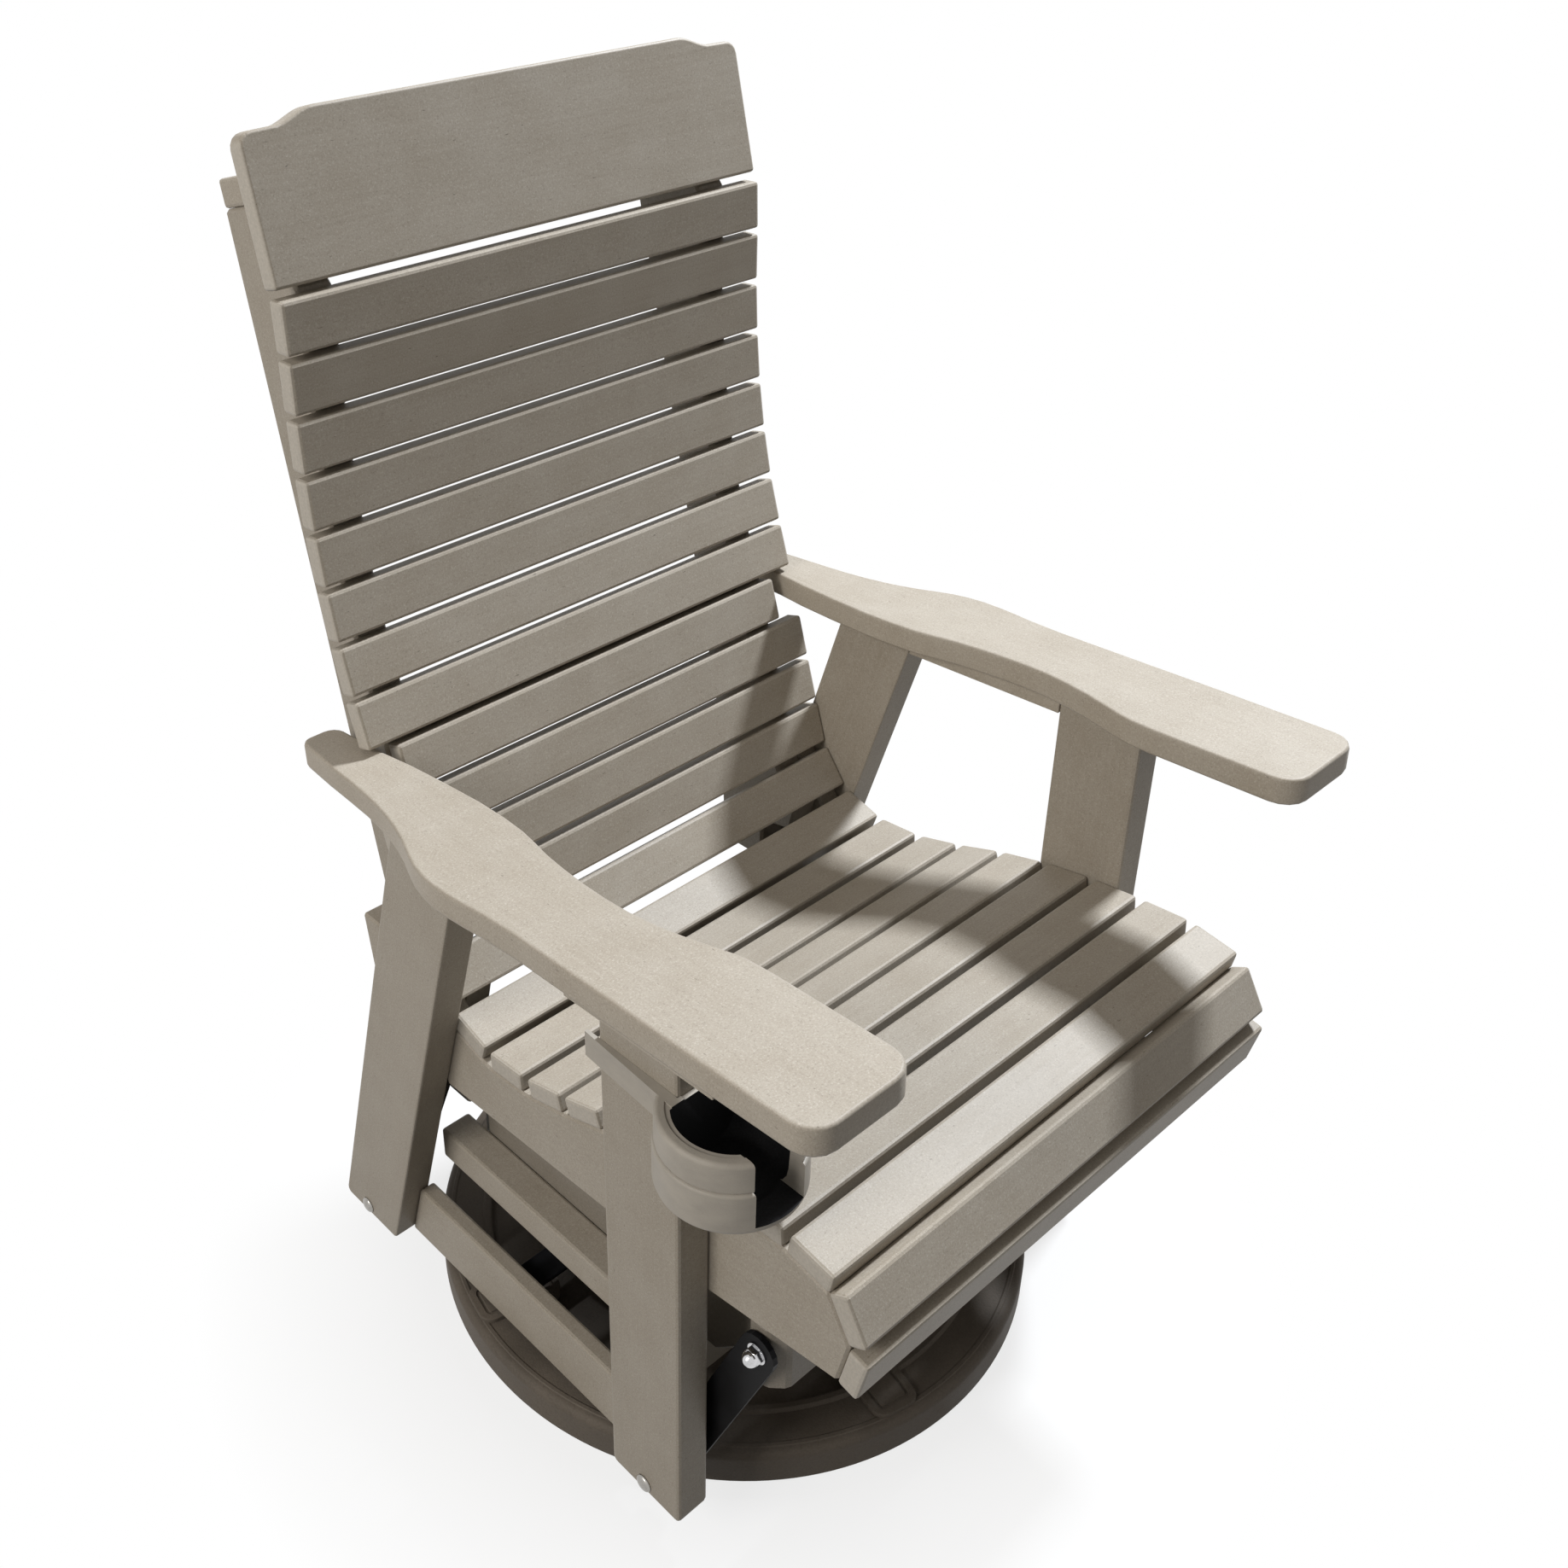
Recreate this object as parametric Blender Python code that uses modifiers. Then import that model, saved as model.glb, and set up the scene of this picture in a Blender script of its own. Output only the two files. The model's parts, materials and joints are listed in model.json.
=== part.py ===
"""Swivel glider: a slatted armchair in plastic lumber that hangs by four links from a base frame.

The base frame turns on a ball-bearing turntable on a round floor disc. The links are parallel, so
the chair glides to the rear and up without tilting, and rests at its forward stop.
Metres, +Z up. The origin is on the floor at the disc's centre. The chair faces -Y, and left and
right are the sitter's, so left is +X.
"""

import math

import bmesh
import bpy

# Board stock and fits
BOARD = 0.0337
FIT = 0.0003
EDGE = 0.003
OVERRUN = 0.01
PANEL_BOARD = 0.0265
TINY_MERGE = 0.00002

# Slats: one chain of straight boards along the seat and back curve
SLAT_WIDTH = 0.044
SLAT_THICK = 0.019
SLAT_HALF_LENGTH = 0.265
NARROW_SLAT_SHORTER = 0.0285
SEAT_PITCH = 0.0528
ROLL_PITCHES = (0.0520, 0.0540, 0.0580)
BACK_PITCH = 0.0498
SEAT_LOW_Y = 0.0205
SEAT_LOW_Z = 0.3785
# Each slat's tilt in degrees: how its face rises to the front, and for the back, to the rear
SEAT_TILTS = (4.7, 16.4, 19.7, 15.5, 10.3, 6.0, 4.0)
ROLL_TILTS = (-10.0, -60.0, -102.0)
BACK_TILTS = (17.0, 52.0, 72.0, 72.5, 72.5, 72.5, 71.0, 73.0, 77.5, 81.0, 84.5, 87.0, 90.0, 88.0)
NARROW_SLAT = 9

# Crest board over the top slat
CREST_GAP = 0.009
CREST_SET_BACK = 0.005
CREST_HEIGHT = 0.130
CREST_SHOULDER_DROP = 0.0105
CREST_FLAT_HALF = 0.194
CREST_SHOULDER_HALF = 0.234
CREST_CORNER = 0.012
CREST_LEAN = 14.0
SHOULDER_STEPS = 8

# Back posts and the rails between them
POST_BOTTOM_Z = 0.290
POST_REAR_LOW_Y = 0.2285
POST_REAR_LOW_Z = 0.424
POST_REAR_TOP_Y = 0.371
POST_REAR_TOP_Z = 1.081
POST_FOOT_DEPTH = 0.060
POST_STEP_Z = 0.342
STOP_GAP = 0.0022
TOP_RAIL_THICK = 0.024
ARM_RAIL_WIDTH = 0.070
ARM_RAIL_THICK = 0.025
ARM_RAIL_SLAT = 9

# Legs
LEG_BOTTOM_Z = 0.047
LEG_WIDTH = 0.086
LEG_CORNER = 0.006
FRONT_LEG_Y = -0.194
REAR_LEG_FOOT_Y = 0.2315
REAR_LEG_LEAN = 16.6

# Armrests
ARM_FRONT_Y = -0.395
ARM_LENGTH = 0.656
ARM_WIDTH = 0.108
ARM_THICK = 0.025
ARM_OVERHANG = 0.033
ARM_TOP_FRONT_Z = 0.6454
ARM_SLOPE = 2.66
ARM_FRONT_CORNER = 0.022
ARM_REAR_CORNER = 0.014
ARM_OUTER_SHARES = ((0.0, 0.93), (0.20, 0.944), (0.452, 0.944), (0.537, 0.981), (0.595, 0.995),
                    (0.645, 0.944), (0.698, 0.815), (0.753, 0.713), (0.823, 0.640), (0.924, 0.593),
                    (1.0, 0.546))
ARM_INNER_SHARES = ((1.0, 0.204), (0.890, 0.167), (0.838, 0.125), (0.699, 0.070), (0.606, 0.093),
                    (0.545, 0.165), (0.468, 0.213), (0.390, 0.213), (0.316, 0.139), (0.255, 0.035),
                    (0.20, 0.0), (0.0, 0.0))
CLEAT_WIDTH = 0.023
CLEAT_HEIGHT = 0.017
CLEAT_FRONT_Y = -0.296
CLEAT_REAR_Y = -0.140
ARM_BATTEN_HEIGHT = 0.0175

# Seat panels: shaped boards on the legs' inner faces
PANEL_TAIL_Y = 0.233
PANEL_TAIL_TOP_Z = 0.424
PANEL_TAIL_BOTTOM_Y = 0.2235
PANEL_TAIL_BOTTOM_Z = 0.360
PANEL_LOW_REAR_Y = 0.1134
PANEL_LOW_REAR_Z = 0.2895
PANEL_LOW_FRONT_Y = -0.160
PANEL_LOW_FRONT_Z = 0.3075
PANEL_STEP_FRONT_Y = -0.222
PANEL_STEP_Z = 0.312

# Stretchers between the feet, and the steel strap across
STRETCHER_THICK = 0.0175
STRETCHER_STEP = 0.012
STRETCHER_TOP_Z = 0.118
STRAP_WIDTH = 0.032
STRAP_THICK = 0.005
STRAP_Y = 0.022
STRAP_TOP_Z = 0.0975
STRAP_TAB = 0.036

# Glide mechanism: four parallel links, each on two pivots
PIVOT_LOW_Z = 0.058
PIVOT_HIGH_Z = 0.2816
PIVOT_FRONT_LOW_Y = -0.193
PIVOT_REAR_LOW_Y = 0.234
PIVOT_LEAN = 0.092
LINK_STAND_OFF = 0.0065
LINK_THICK = 0.005
LINK_WIDTH = 0.035
PIN_RADIUS = 0.005
PIN_CLEARANCE = 0.0006
OPEN_PIVOT_CLEARANCE = 0.001
HEAD_RADIUS = 0.0085
HEAD_HEIGHT = 0.004
WASHER_RADIUS = 0.0095
WASHER_THICK = 0.0012
NUT_RADIUS = 0.0085
NUT_HEIGHT = 0.006
ACORN_HEIGHT = 0.0075
BUSH_RADIUS = 0.012

# Base frame that the links hang from
BEAM_LINK_GAP = 0.0015
BEAM_PANEL_GAP = 0.0032
BEAM_DEPTH = 0.034
BEAM_BOTTOM_Z = 0.235
BEAM_TOP_Z = 0.306
BEAM_CLIP = 0.013
SIDE_THICK = 0.033
SIDE_BOTTOM_Z = 0.166
SIDE_TOP_Z = 0.300
SIDE_CLIP = 0.070
RAIL_LINK_GAP = 0.0032
RAIL_BOTTOM_Z = 0.155
RAIL_TOP_Z = 0.1915
RAIL_FRONT_Y = -0.170
RAIL_REAR_Y = 0.156
RISER_Y = 0.133
RISER_DEPTH = 0.034
RISER_TOP_Z = 0.206

# Floor disc
DISC_RADIUS = 0.304
DISC_RIM_TOP_Z = 0.040
DISC_RIM_ROUND = 0.014
DISC_RING_INSET = 0.052
DISC_RING_RISE = 0.003
DISC_RING_WIDTH = 0.010
DISC_FLOOR_Z = 0.030
DISC_BOSS_RADIUS = 0.135
DISC_BOSS_Z = 0.046
DISC_BOSS_SLOPE = 0.012
DISC_FOOT = 0.003
DISC_SEGMENTS = 48
PAD_WIDTH = 0.048
PAD_LENGTH = 0.087
PAD_INSET = 0.008
PAD_TOP_Z = 0.0435
PAD_CORNER = 0.008
PAD_COUNT = 4
PAD_TURN = -13.0

# Turntable between the disc and the base frame
PLATE_LOW_RADIUS = 0.120
PLATE_HIGH_RADIUS = 0.165
PLATE_THICK = 0.004
BALL_RADIUS = 0.006
BALL_TRACK_RADIUS = 0.100
BALL_COUNT = 10
RACE_DEPTH = 0.0008
PLATE_BORE = 0.013
CAGE_WIDTH = 0.018
CAGE_THICK = 0.003
KINGPIN_RADIUS = 0.010
KINGPIN_HEAD_RADIUS = 0.018
KINGPIN_HEAD = 0.007
KINGPIN_DEPTH = 0.020
TURN_SEGMENTS = 24

# Cup holder on the right front leg
CUP_STEP = 0.012
CUP_Y = -0.270
CUP_RADIUS = 0.0575
CUP_WELL_RADIUS = 0.044
CUP_TOP_Z = 0.545
CUP_BOTTOM_Z = 0.477
CUP_FLOOR = 0.005
CUP_GROOVE_Z = 0.5175
CUP_GROOVE = 0.0016
CUP_BAND_SWELL = 0.0015
CUP_ROUND = 0.003
CUP_BACK_WALL = 0.004
CUP_SLOT_LEFT = 0.0265
CUP_SLOT_RIGHT = 0.0190
FLANGE_TIP_Y = -0.139
FLANGE_HEIGHT = 0.024
FLANGE_TIP_THICK = 0.003
FLANGE_ROOT_THICK = 0.011
CUP_SEGMENTS = 36

LUMBER = ((0.225, 0.190, 0.150), 0.62, 0.0)
LUMBER_SHADE = ((0.150, 0.128, 0.103), 0.66, 0.0)
MOULDED = ((0.235, 0.210, 0.175), 0.55, 0.0)
DISC_PLASTIC = ((0.110, 0.095, 0.080), 0.60, 0.0)
BLACK_STEEL = ((0.020, 0.020, 0.021), 0.42, 0.6)
STAINLESS = ((0.60, 0.59, 0.57), 0.28, 1.0)
CHROME = ((0.75, 0.75, 0.76), 0.10, 1.0)

LEG_INNER_X = SLAT_HALF_LENGTH
LEG_OUTER_X = LEG_INNER_X + BOARD
SLAT_BETWEEN_ARMS_HALF_LENGTH = LEG_INNER_X - NARROW_SLAT_SHORTER
ARM_INNER_X = LEG_INNER_X - ARM_OVERHANG
STRETCHER_OUTER_X = LEG_INNER_X + STRETCHER_STEP
CUP_X = -(LEG_INNER_X + CUP_STEP)
CUP_SLOT_LEFT_X = CUP_X - CUP_SLOT_LEFT
CUP_SLOT_RIGHT_X = CUP_X + CUP_SLOT_RIGHT
PANEL_INNER_X = LEG_INNER_X - FIT - PANEL_BOARD
POST_OUTER_X = PANEL_INNER_X - FIT
POST_INNER_X = POST_OUTER_X - BOARD
LINK_OUTER_X = LEG_INNER_X - LINK_STAND_OFF
LINK_INNER_X = LINK_OUTER_X - LINK_THICK
BEAM_HALF_LENGTH = LINK_INNER_X - BEAM_LINK_GAP
BEAM_REAR_HALF_LENGTH = PANEL_INNER_X - BEAM_PANEL_GAP
RAIL_OUTER_X = LINK_INNER_X - RAIL_LINK_GAP
RAIL_INNER_X = RAIL_OUTER_X - BOARD
SIDE_INNER_X = RAIL_INNER_X - FIT - SIDE_THICK
PLATE_LOW_Z = DISC_BOSS_Z + FIT
BALL_Z = PLATE_LOW_Z + PLATE_THICK - RACE_DEPTH + BALL_RADIUS + FIT
PLATE_HIGH_Z = BALL_Z + BALL_RADIUS + FIT - RACE_DEPTH
RISER_BOTTOM_Z = PLATE_HIGH_Z + PLATE_THICK + FIT

SIDES = (("right", -1), ("left", 1))


def clear_scene():
    for obj in list(bpy.data.objects):
        bpy.data.objects.remove(obj)


def new_collection(name):
    collection = bpy.data.collections.new(name)
    bpy.context.scene.collection.children.link(collection)
    return collection


def move_to(obj, collection):
    for old in list(obj.users_collection):
        old.objects.unlink(obj)
    collection.objects.link(obj)


def paint(obj, finish):
    """Gives the object its own material."""
    colour, roughness, metallic = finish
    material = bpy.data.materials.new(obj.name + "_finish")
    material.use_nodes = True
    shader = material.node_tree.nodes["Principled BSDF"]
    shader.inputs["Base Color"].default_value = (*colour, 1.0)
    shader.inputs["Roughness"].default_value = roughness
    shader.inputs["Metallic"].default_value = metallic
    obj.data.materials.clear()
    obj.data.materials.append(material)


def bevel(obj, width, segments=2):
    """Rounds every sharp edge."""
    rounding = obj.modifiers.new("rounded_edges", "BEVEL")
    rounding.width = width
    rounding.segments = segments
    rounding.limit_method = "ANGLE"
    rounding.angle_limit = math.radians(32.0)
    return rounding


def block(name, size, centre, finish, turn_x=0.0, edge=EDGE, segments=2):
    """A board from a cube: size and centre in metres, turned about X by degrees."""
    bpy.ops.mesh.primitive_cube_add(size=1.0)
    obj = bpy.context.object
    obj.name = name
    obj.data.name = name
    obj.scale = size
    bpy.ops.object.transform_apply(location=False, rotation=False, scale=True)
    obj.location = centre
    obj.rotation_euler.x = math.radians(turn_x)
    if edge:
        bevel(obj, edge, segments)
    move_to(obj, PARTS)
    if finish:
        paint(obj, finish)
    return obj


def mesh_from_curve(curve_obj, name):
    """Replaces a curve object by a closed mesh object of the same shape and place."""
    bpy.context.view_layer.update()
    graph = bpy.context.evaluated_depsgraph_get()
    mesh = bpy.data.meshes.new_from_object(curve_obj.evaluated_get(graph))
    mesh.name = name
    welded = bmesh.new()
    welded.from_mesh(mesh)
    bmesh.ops.remove_doubles(welded, verts=welded.verts, dist=TINY_MERGE)
    flat_edges = [e for e in welded.edges
                  if len(e.link_faces) == 2 and e.calc_face_angle() < math.radians(0.5)]
    bmesh.ops.dissolve_edges(welded, edges=flat_edges, use_verts=False)
    bmesh.ops.recalc_face_normals(welded, faces=welded.faces)
    welded.to_mesh(mesh)
    welded.free()
    obj = bpy.data.objects.new(name, mesh)
    obj.matrix_world = curve_obj.matrix_world.copy()
    bpy.data.objects.remove(curve_obj)
    return obj


def plate(name, outlines, thickness, finish, centre=(0.0, 0.0, 0.0), turn=(0.0, 0.0, 0.0),
          edge=EDGE, segments=2, collection=None):
    """A flat piece: outlines in its own XY plane, of which the later ones are holes."""
    data = bpy.data.curves.new(name + "_outline", "CURVE")
    data.dimensions = "2D"
    data.fill_mode = "BOTH"
    data.extrude = thickness / 2
    for outline in outlines:
        spline = data.splines.new("POLY")
        spline.points.add(len(outline) - 1)
        for point, (u, v) in zip(spline.points, outline):
            point.co = (u, v, 0.0, 1.0)
        spline.use_cyclic_u = True
    curve_obj = bpy.data.objects.new(name + "_outline", data)
    bpy.context.scene.collection.objects.link(curve_obj)
    curve_obj.location = centre
    curve_obj.rotation_euler = [math.radians(a) for a in turn]
    obj = mesh_from_curve(curve_obj, name)
    (collection or PARTS).objects.link(obj)
    if edge:
        bevel(obj, edge, segments)
    if finish:
        paint(obj, finish)
    return obj


UPRIGHT = (90.0, 0.0, 90.0)


def side_board(name, outlines, middle_x, thickness, finish, edge=EDGE, segments=2):
    """A board in a plane across X: its outlines are in Y and Z."""
    return plate(name, outlines, thickness, finish, (middle_x, 0.0, 0.0), UPRIGHT, edge, segments)


def turned(name, profile, centre, finish, segments, collection=None):
    """A turned piece about a vertical axis: profile in radius and height, from the axis and back."""
    mesh = bpy.data.meshes.new(name)
    points = [(radius, 0.0, height) for radius, height in profile]
    mesh.from_pydata(points, [(i, i + 1) for i in range(len(points) - 1)], [])
    if profile[0][0] > 0:
        closing = bmesh.new()
        closing.from_mesh(mesh)
        closing.verts.ensure_lookup_table()
        closing.edges.new((closing.verts[-1], closing.verts[0]))
        closing.to_mesh(mesh)
        closing.free()
    obj = bpy.data.objects.new(name, mesh)
    obj.location = centre
    screw = obj.modifiers.new("turned", "SCREW")
    screw.steps = segments
    screw.render_steps = segments
    screw.use_merge_vertices = True
    screw.merge_threshold = TINY_MERGE
    (collection or PARTS).objects.link(obj)
    if finish:
        paint(obj, finish)
    return obj


def cutter_style(obj):
    obj.hide_render = True
    obj.display_type = "WIRE"
    return obj


def combine(obj, other, operation):
    """Cuts or joins with an exact Boolean; the other shape stays as a hidden guide."""
    cut = obj.modifiers.new(operation.lower(), "BOOLEAN")
    cut.operation = operation
    cut.object = cutter_style(other)
    cut.solver = "EXACT"
    return cut


def rod(name, radius, x0, x1, y, z, sides=12, collection=None):
    """A cylinder along X from x0 to x1."""
    bpy.ops.mesh.primitive_cylinder_add(vertices=sides, radius=radius, depth=abs(x1 - x0))
    obj = bpy.context.object
    obj.name = name
    obj.rotation_euler = (0.0, math.radians(90.0), 0.0)
    obj.location = ((x0 + x1) / 2, y, z)
    bpy.ops.object.transform_apply(location=False, rotation=True, scale=False)
    move_to(obj, collection or CUTTERS)
    return obj


def carry(empty_name, place, names):
    """Parents pieces to an empty on their joint's axis, without moving them."""
    axis = bpy.data.objects.new(empty_name, None)
    axis.location = place
    PARTS.objects.link(axis)
    bpy.context.view_layer.update()
    for name in names:
        piece = bpy.data.objects[name]
        world = piece.matrix_world.copy()
        piece.parent = axis
        piece.matrix_parent_inverse = axis.matrix_world.inverted()
        piece.matrix_world = world


def arc(centre, radius, start, end, steps):
    """Points on an arc, angles in degrees."""
    points = []
    for i in range(steps + 1):
        angle = math.radians(start + (end - start) * i / steps)
        points.append((centre[0] + radius * math.cos(angle), centre[1] + radius * math.sin(angle)))
    return points


def rounded(points, radii, steps=3):
    """Fillets each corner of a closed outline; a radius of zero keeps the corner."""
    out = []
    count = len(points)
    for i, (px, py) in enumerate(points):
        radius = radii[i] if isinstance(radii, (list, tuple)) else radii
        ax, ay = points[i - 1]
        bx, by = points[(i + 1) % count]
        la = math.hypot(ax - px, ay - py)
        lb = math.hypot(bx - px, by - py)
        ua = ((ax - px) / la, (ay - py) / la)
        ub = ((bx - px) / lb, (by - py) / lb)
        cosine = max(-1.0, min(1.0, ua[0] * ub[0] + ua[1] * ub[1]))
        half = math.acos(cosine) / 2
        if not radius or half > math.radians(88.0):
            out.append((px, py))
            continue
        reach = min(radius / math.tan(half), la * 0.45, lb * 0.45)
        radius = reach * math.tan(half)
        bisector = (ua[0] + ub[0], ua[1] + ub[1])
        length = math.hypot(*bisector)
        centre = (px + bisector[0] / length * radius / math.sin(half),
                  py + bisector[1] / length * radius / math.sin(half))
        start = (px + ua[0] * reach, py + ua[1] * reach)
        end = (px + ub[0] * reach, py + ub[1] * reach)
        a0 = math.atan2(start[1] - centre[1], start[0] - centre[0])
        a1 = math.atan2(end[1] - centre[1], end[0] - centre[0])
        sweep = (a1 - a0 + math.pi) % (2 * math.pi) - math.pi
        for k in range(steps + 1):
            angle = a0 + sweep * k / steps
            out.append((centre[0] + radius * math.cos(angle), centre[1] + radius * math.sin(angle)))
    return out


def smooth(points, steps=2):
    """A Catmull-Rom curve through an open row of points."""
    out = []
    for i in range(len(points) - 1):
        p0 = points[max(i - 1, 0)]
        p1 = points[i]
        p2 = points[i + 1]
        p3 = points[min(i + 2, len(points) - 1)]
        for k in range(steps):
            t = k / steps
            out.append(tuple(
                0.5 * (2 * b + (c - a) * t + (2 * a - 5 * b + 4 * c - d) * t * t
                       + (3 * b - a - 3 * c + d) * t ** 3)
                for a, b, c, d in zip(p0, p1, p2, p3)))
    out.append(points[-1])
    return out


def slat_chain():
    """Face centres and tilts of the slats; each step rises by the mean of its two slats' tilts."""
    slats = {}
    tilts = SEAT_TILTS + ROLL_TILTS
    y, z = SEAT_LOW_Y, SEAT_LOW_Z
    for i, tilt in enumerate(tilts):
        on_roll = i - len(SEAT_TILTS)
        name = f"slat_seat_{i + 2:02d}" if on_roll < 0 else f"slat_front_{on_roll + 1:02d}"
        if i:
            rise = math.radians((tilt + tilts[i - 1]) / 2)
            pitch = SEAT_PITCH if on_roll < 0 else ROLL_PITCHES[on_roll]
            y -= pitch * math.cos(rise)
            z += pitch * math.sin(rise)
        slats[name] = ((y, z), tilt)
    y, z = SEAT_LOW_Y, SEAT_LOW_Z
    before = -SEAT_TILTS[0]
    for i, tilt in enumerate(BACK_TILTS):
        rise = math.radians((tilt + before) / 2)
        y += BACK_PITCH * math.cos(rise)
        z += BACK_PITCH * math.sin(rise)
        slats["slat_seat_01" if i == 0 else f"slat_back_{len(BACK_TILTS) - i:02d}"] = ((y, z), -tilt)
        before = tilt
    return slats


def face_frame(tilt):
    """Unit vectors of a slat in Y and Z: along its face towards the front, and out of its face."""
    angle = math.radians(tilt)
    along = (-math.cos(angle), math.sin(angle))
    out = (math.sin(angle), math.cos(angle))
    return along, out


def off_face(slat, along_by, out_by):
    """A point placed from the middle of a slat's face."""
    (y, z), tilt = slat
    along, out = face_frame(tilt)
    return (y + along[0] * along_by + out[0] * out_by, z + along[1] * along_by + out[1] * out_by)


def underside(slat, gap=FIT):
    """The two lower edges of a slat, rear one first, with the seating gap."""
    depth = -(SLAT_THICK + gap)
    return [off_face(slat, -SLAT_WIDTH / 2, depth), off_face(slat, SLAT_WIDTH / 2, depth)]


def meet(p, q, r, s):
    """Where the line through p and q crosses the line through r and s."""
    ax, ay = q[0] - p[0], q[1] - p[1]
    bx, by = s[0] - r[0], s[1] - r[1]
    t = ((r[0] - p[0]) * by - (r[1] - p[1]) * bx) / (ax * by - ay * bx)
    return (p[0] + ax * t, p[1] + ay * t)


def support_line(slats):
    """The edge of a carrier board under a row of slats; where two undersides cross, one corner."""
    line = underside(slats[0])
    for slat in slats[1:]:
        rear, front = underside(slat)
        ahead = [(a - b) * (b - c) for a, b, c in zip(rear, line[-1], line[-2])]
        if sum(ahead) > 0:
            line.append(rear)
        else:
            line[-1] = meet(line[-2], line[-1], rear, front)
        line.append(front)
    return line


def arm_underside(y):
    return ARM_TOP_FRONT_Z - ARM_THICK / math.cos(math.radians(ARM_SLOPE)) \
        - math.tan(math.radians(ARM_SLOPE)) * (y - ARM_FRONT_Y)


def build_slats(slats):
    for name, slat in slats.items():
        half = SLAT_HALF_LENGTH
        if name == f"slat_back_{NARROW_SLAT:02d}":
            half = SLAT_BETWEEN_ARMS_HALF_LENGTH
        centre = off_face(slat, 0.0, -SLAT_THICK / 2)
        block(name, (2 * half, SLAT_WIDTH, SLAT_THICK), (0.0, *centre), LUMBER, -slat[1])


def crest_outline():
    """Half of the crest's edge mirrored: rounded corner, shoulder, S-curve, raised middle."""
    shoulder = CREST_HEIGHT - CREST_SHOULDER_DROP
    half = []
    half.append((SLAT_HALF_LENGTH, 0.0))
    corner = (SLAT_HALF_LENGTH - CREST_CORNER, shoulder - CREST_CORNER)
    half += arc(corner, CREST_CORNER, 0.0, 90.0, 4)
    for i in range(1, SHOULDER_STEPS + 1):
        share = i / SHOULDER_STEPS
        x = CREST_SHOULDER_HALF + (CREST_FLAT_HALF - CREST_SHOULDER_HALF) * share
        half.append((x, shoulder + CREST_SHOULDER_DROP * (1 - math.cos(math.pi * share)) / 2))
    return half + [(-x, z) for x, z in reversed(half)]


def crest_place(slats):
    """The foot of the crest's front face, above the top slat, and the crest's own directions."""
    top = off_face(slats["slat_back_01"], -SLAT_WIDTH / 2 - CREST_GAP, -CREST_SET_BACK)
    lean = math.radians(CREST_LEAN)
    up = (math.sin(lean), math.cos(lean))
    back = (math.cos(lean), -math.sin(lean))
    return top, up, back


def build_crest(slats):
    foot, up, back = crest_place(slats)
    centre = (0.0, foot[0] + back[0] * SLAT_THICK / 2, foot[1] + back[1] * SLAT_THICK / 2)
    plate("crest_board", [crest_outline()], SLAT_THICK, LUMBER, centre, (90.0 - CREST_LEAN, 0.0, 0.0))


def build_back_frame(slats):
    """Posts behind the back slats, the rail on top of them and the rail at arm height."""
    foot, up, back = crest_place(slats)
    depth = SLAT_THICK + FIT

    def behind_crest(height, away=0.0):
        reach = depth + away
        return (foot[0] + up[0] * height + back[0] * reach, foot[1] + up[1] * height + back[1] * reach)

    rear_low = (POST_REAR_LOW_Y, POST_REAR_LOW_Z)
    rear_top = (POST_REAR_TOP_Y, POST_REAR_TOP_Z)
    # The rail lies square to the crest, its upper rear edge on the posts' rear line
    reach = meet(behind_crest(0.0), behind_crest(CREST_HEIGHT), rear_top,
                 (rear_top[0] + back[0], rear_top[1] + back[1]))
    rail_top = math.hypot(reach[0] - behind_crest(0.0)[0], reach[1] - behind_crest(0.0)[1])
    rail_depth = math.hypot(reach[0] - rear_top[0], reach[1] - rear_top[1])
    post_top = rail_top - TOP_RAIL_THICK - FIT
    back_slats = [slats[f"slat_back_{n:02d}"] for n in range(1, 14)]
    line = support_line(back_slats)[::-1]
    line.append(behind_crest(0.0))
    top_front = behind_crest(post_top)
    top_rear = meet(top_front, behind_crest(post_top, rail_depth), rear_low, rear_top)
    # The feet are the forward stop: they rest against the base frame's rear beam
    stop_y = PIVOT_REAR_LOW_Y - PIVOT_LEAN + BEAM_DEPTH / 2 + STOP_GAP
    heel = [(stop_y + POST_FOOT_DEPTH, POST_BOTTOM_Z), (stop_y, POST_BOTTOM_Z),
            (stop_y, POST_STEP_Z), (line[0][0] + BOARD / 4, line[0][1] - BOARD)]
    outline = line + [top_front, top_rear, rear_low] + heel
    for side, sign in SIDES:
        middle = sign * (POST_OUTER_X + POST_INNER_X) / 2
        side_board(f"back_post_{side}", [outline], middle, BOARD, LUMBER, EDGE, 1)
    rail_middle = behind_crest(rail_top - TOP_RAIL_THICK / 2, rail_depth / 2)
    block("rail_back_top", (2 * POST_OUTER_X, rail_depth, TOP_RAIL_THICK), (0.0, *rail_middle), LUMBER,
          -CREST_LEAN)
    slat = slats[f"slat_back_{ARM_RAIL_SLAT:02d}"]
    upper = slats[f"slat_back_{ARM_RAIL_SLAT - 1:02d}"]
    seat = meet(*underside(slat), *underside(upper))
    tilt = (slat[1] + upper[1]) / 2
    along, out = face_frame(tilt)
    sunk = SLAT_THICK / 4 + ARM_RAIL_THICK / 2
    centre = (seat[0] - out[0] * sunk, seat[1] - out[1] * sunk)
    size = (2 * (POST_INNER_X - FIT), ARM_RAIL_WIDTH, ARM_RAIL_THICK)
    block("rail_back_arm", size, (0.0, *centre), LUMBER, -tilt)


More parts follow.
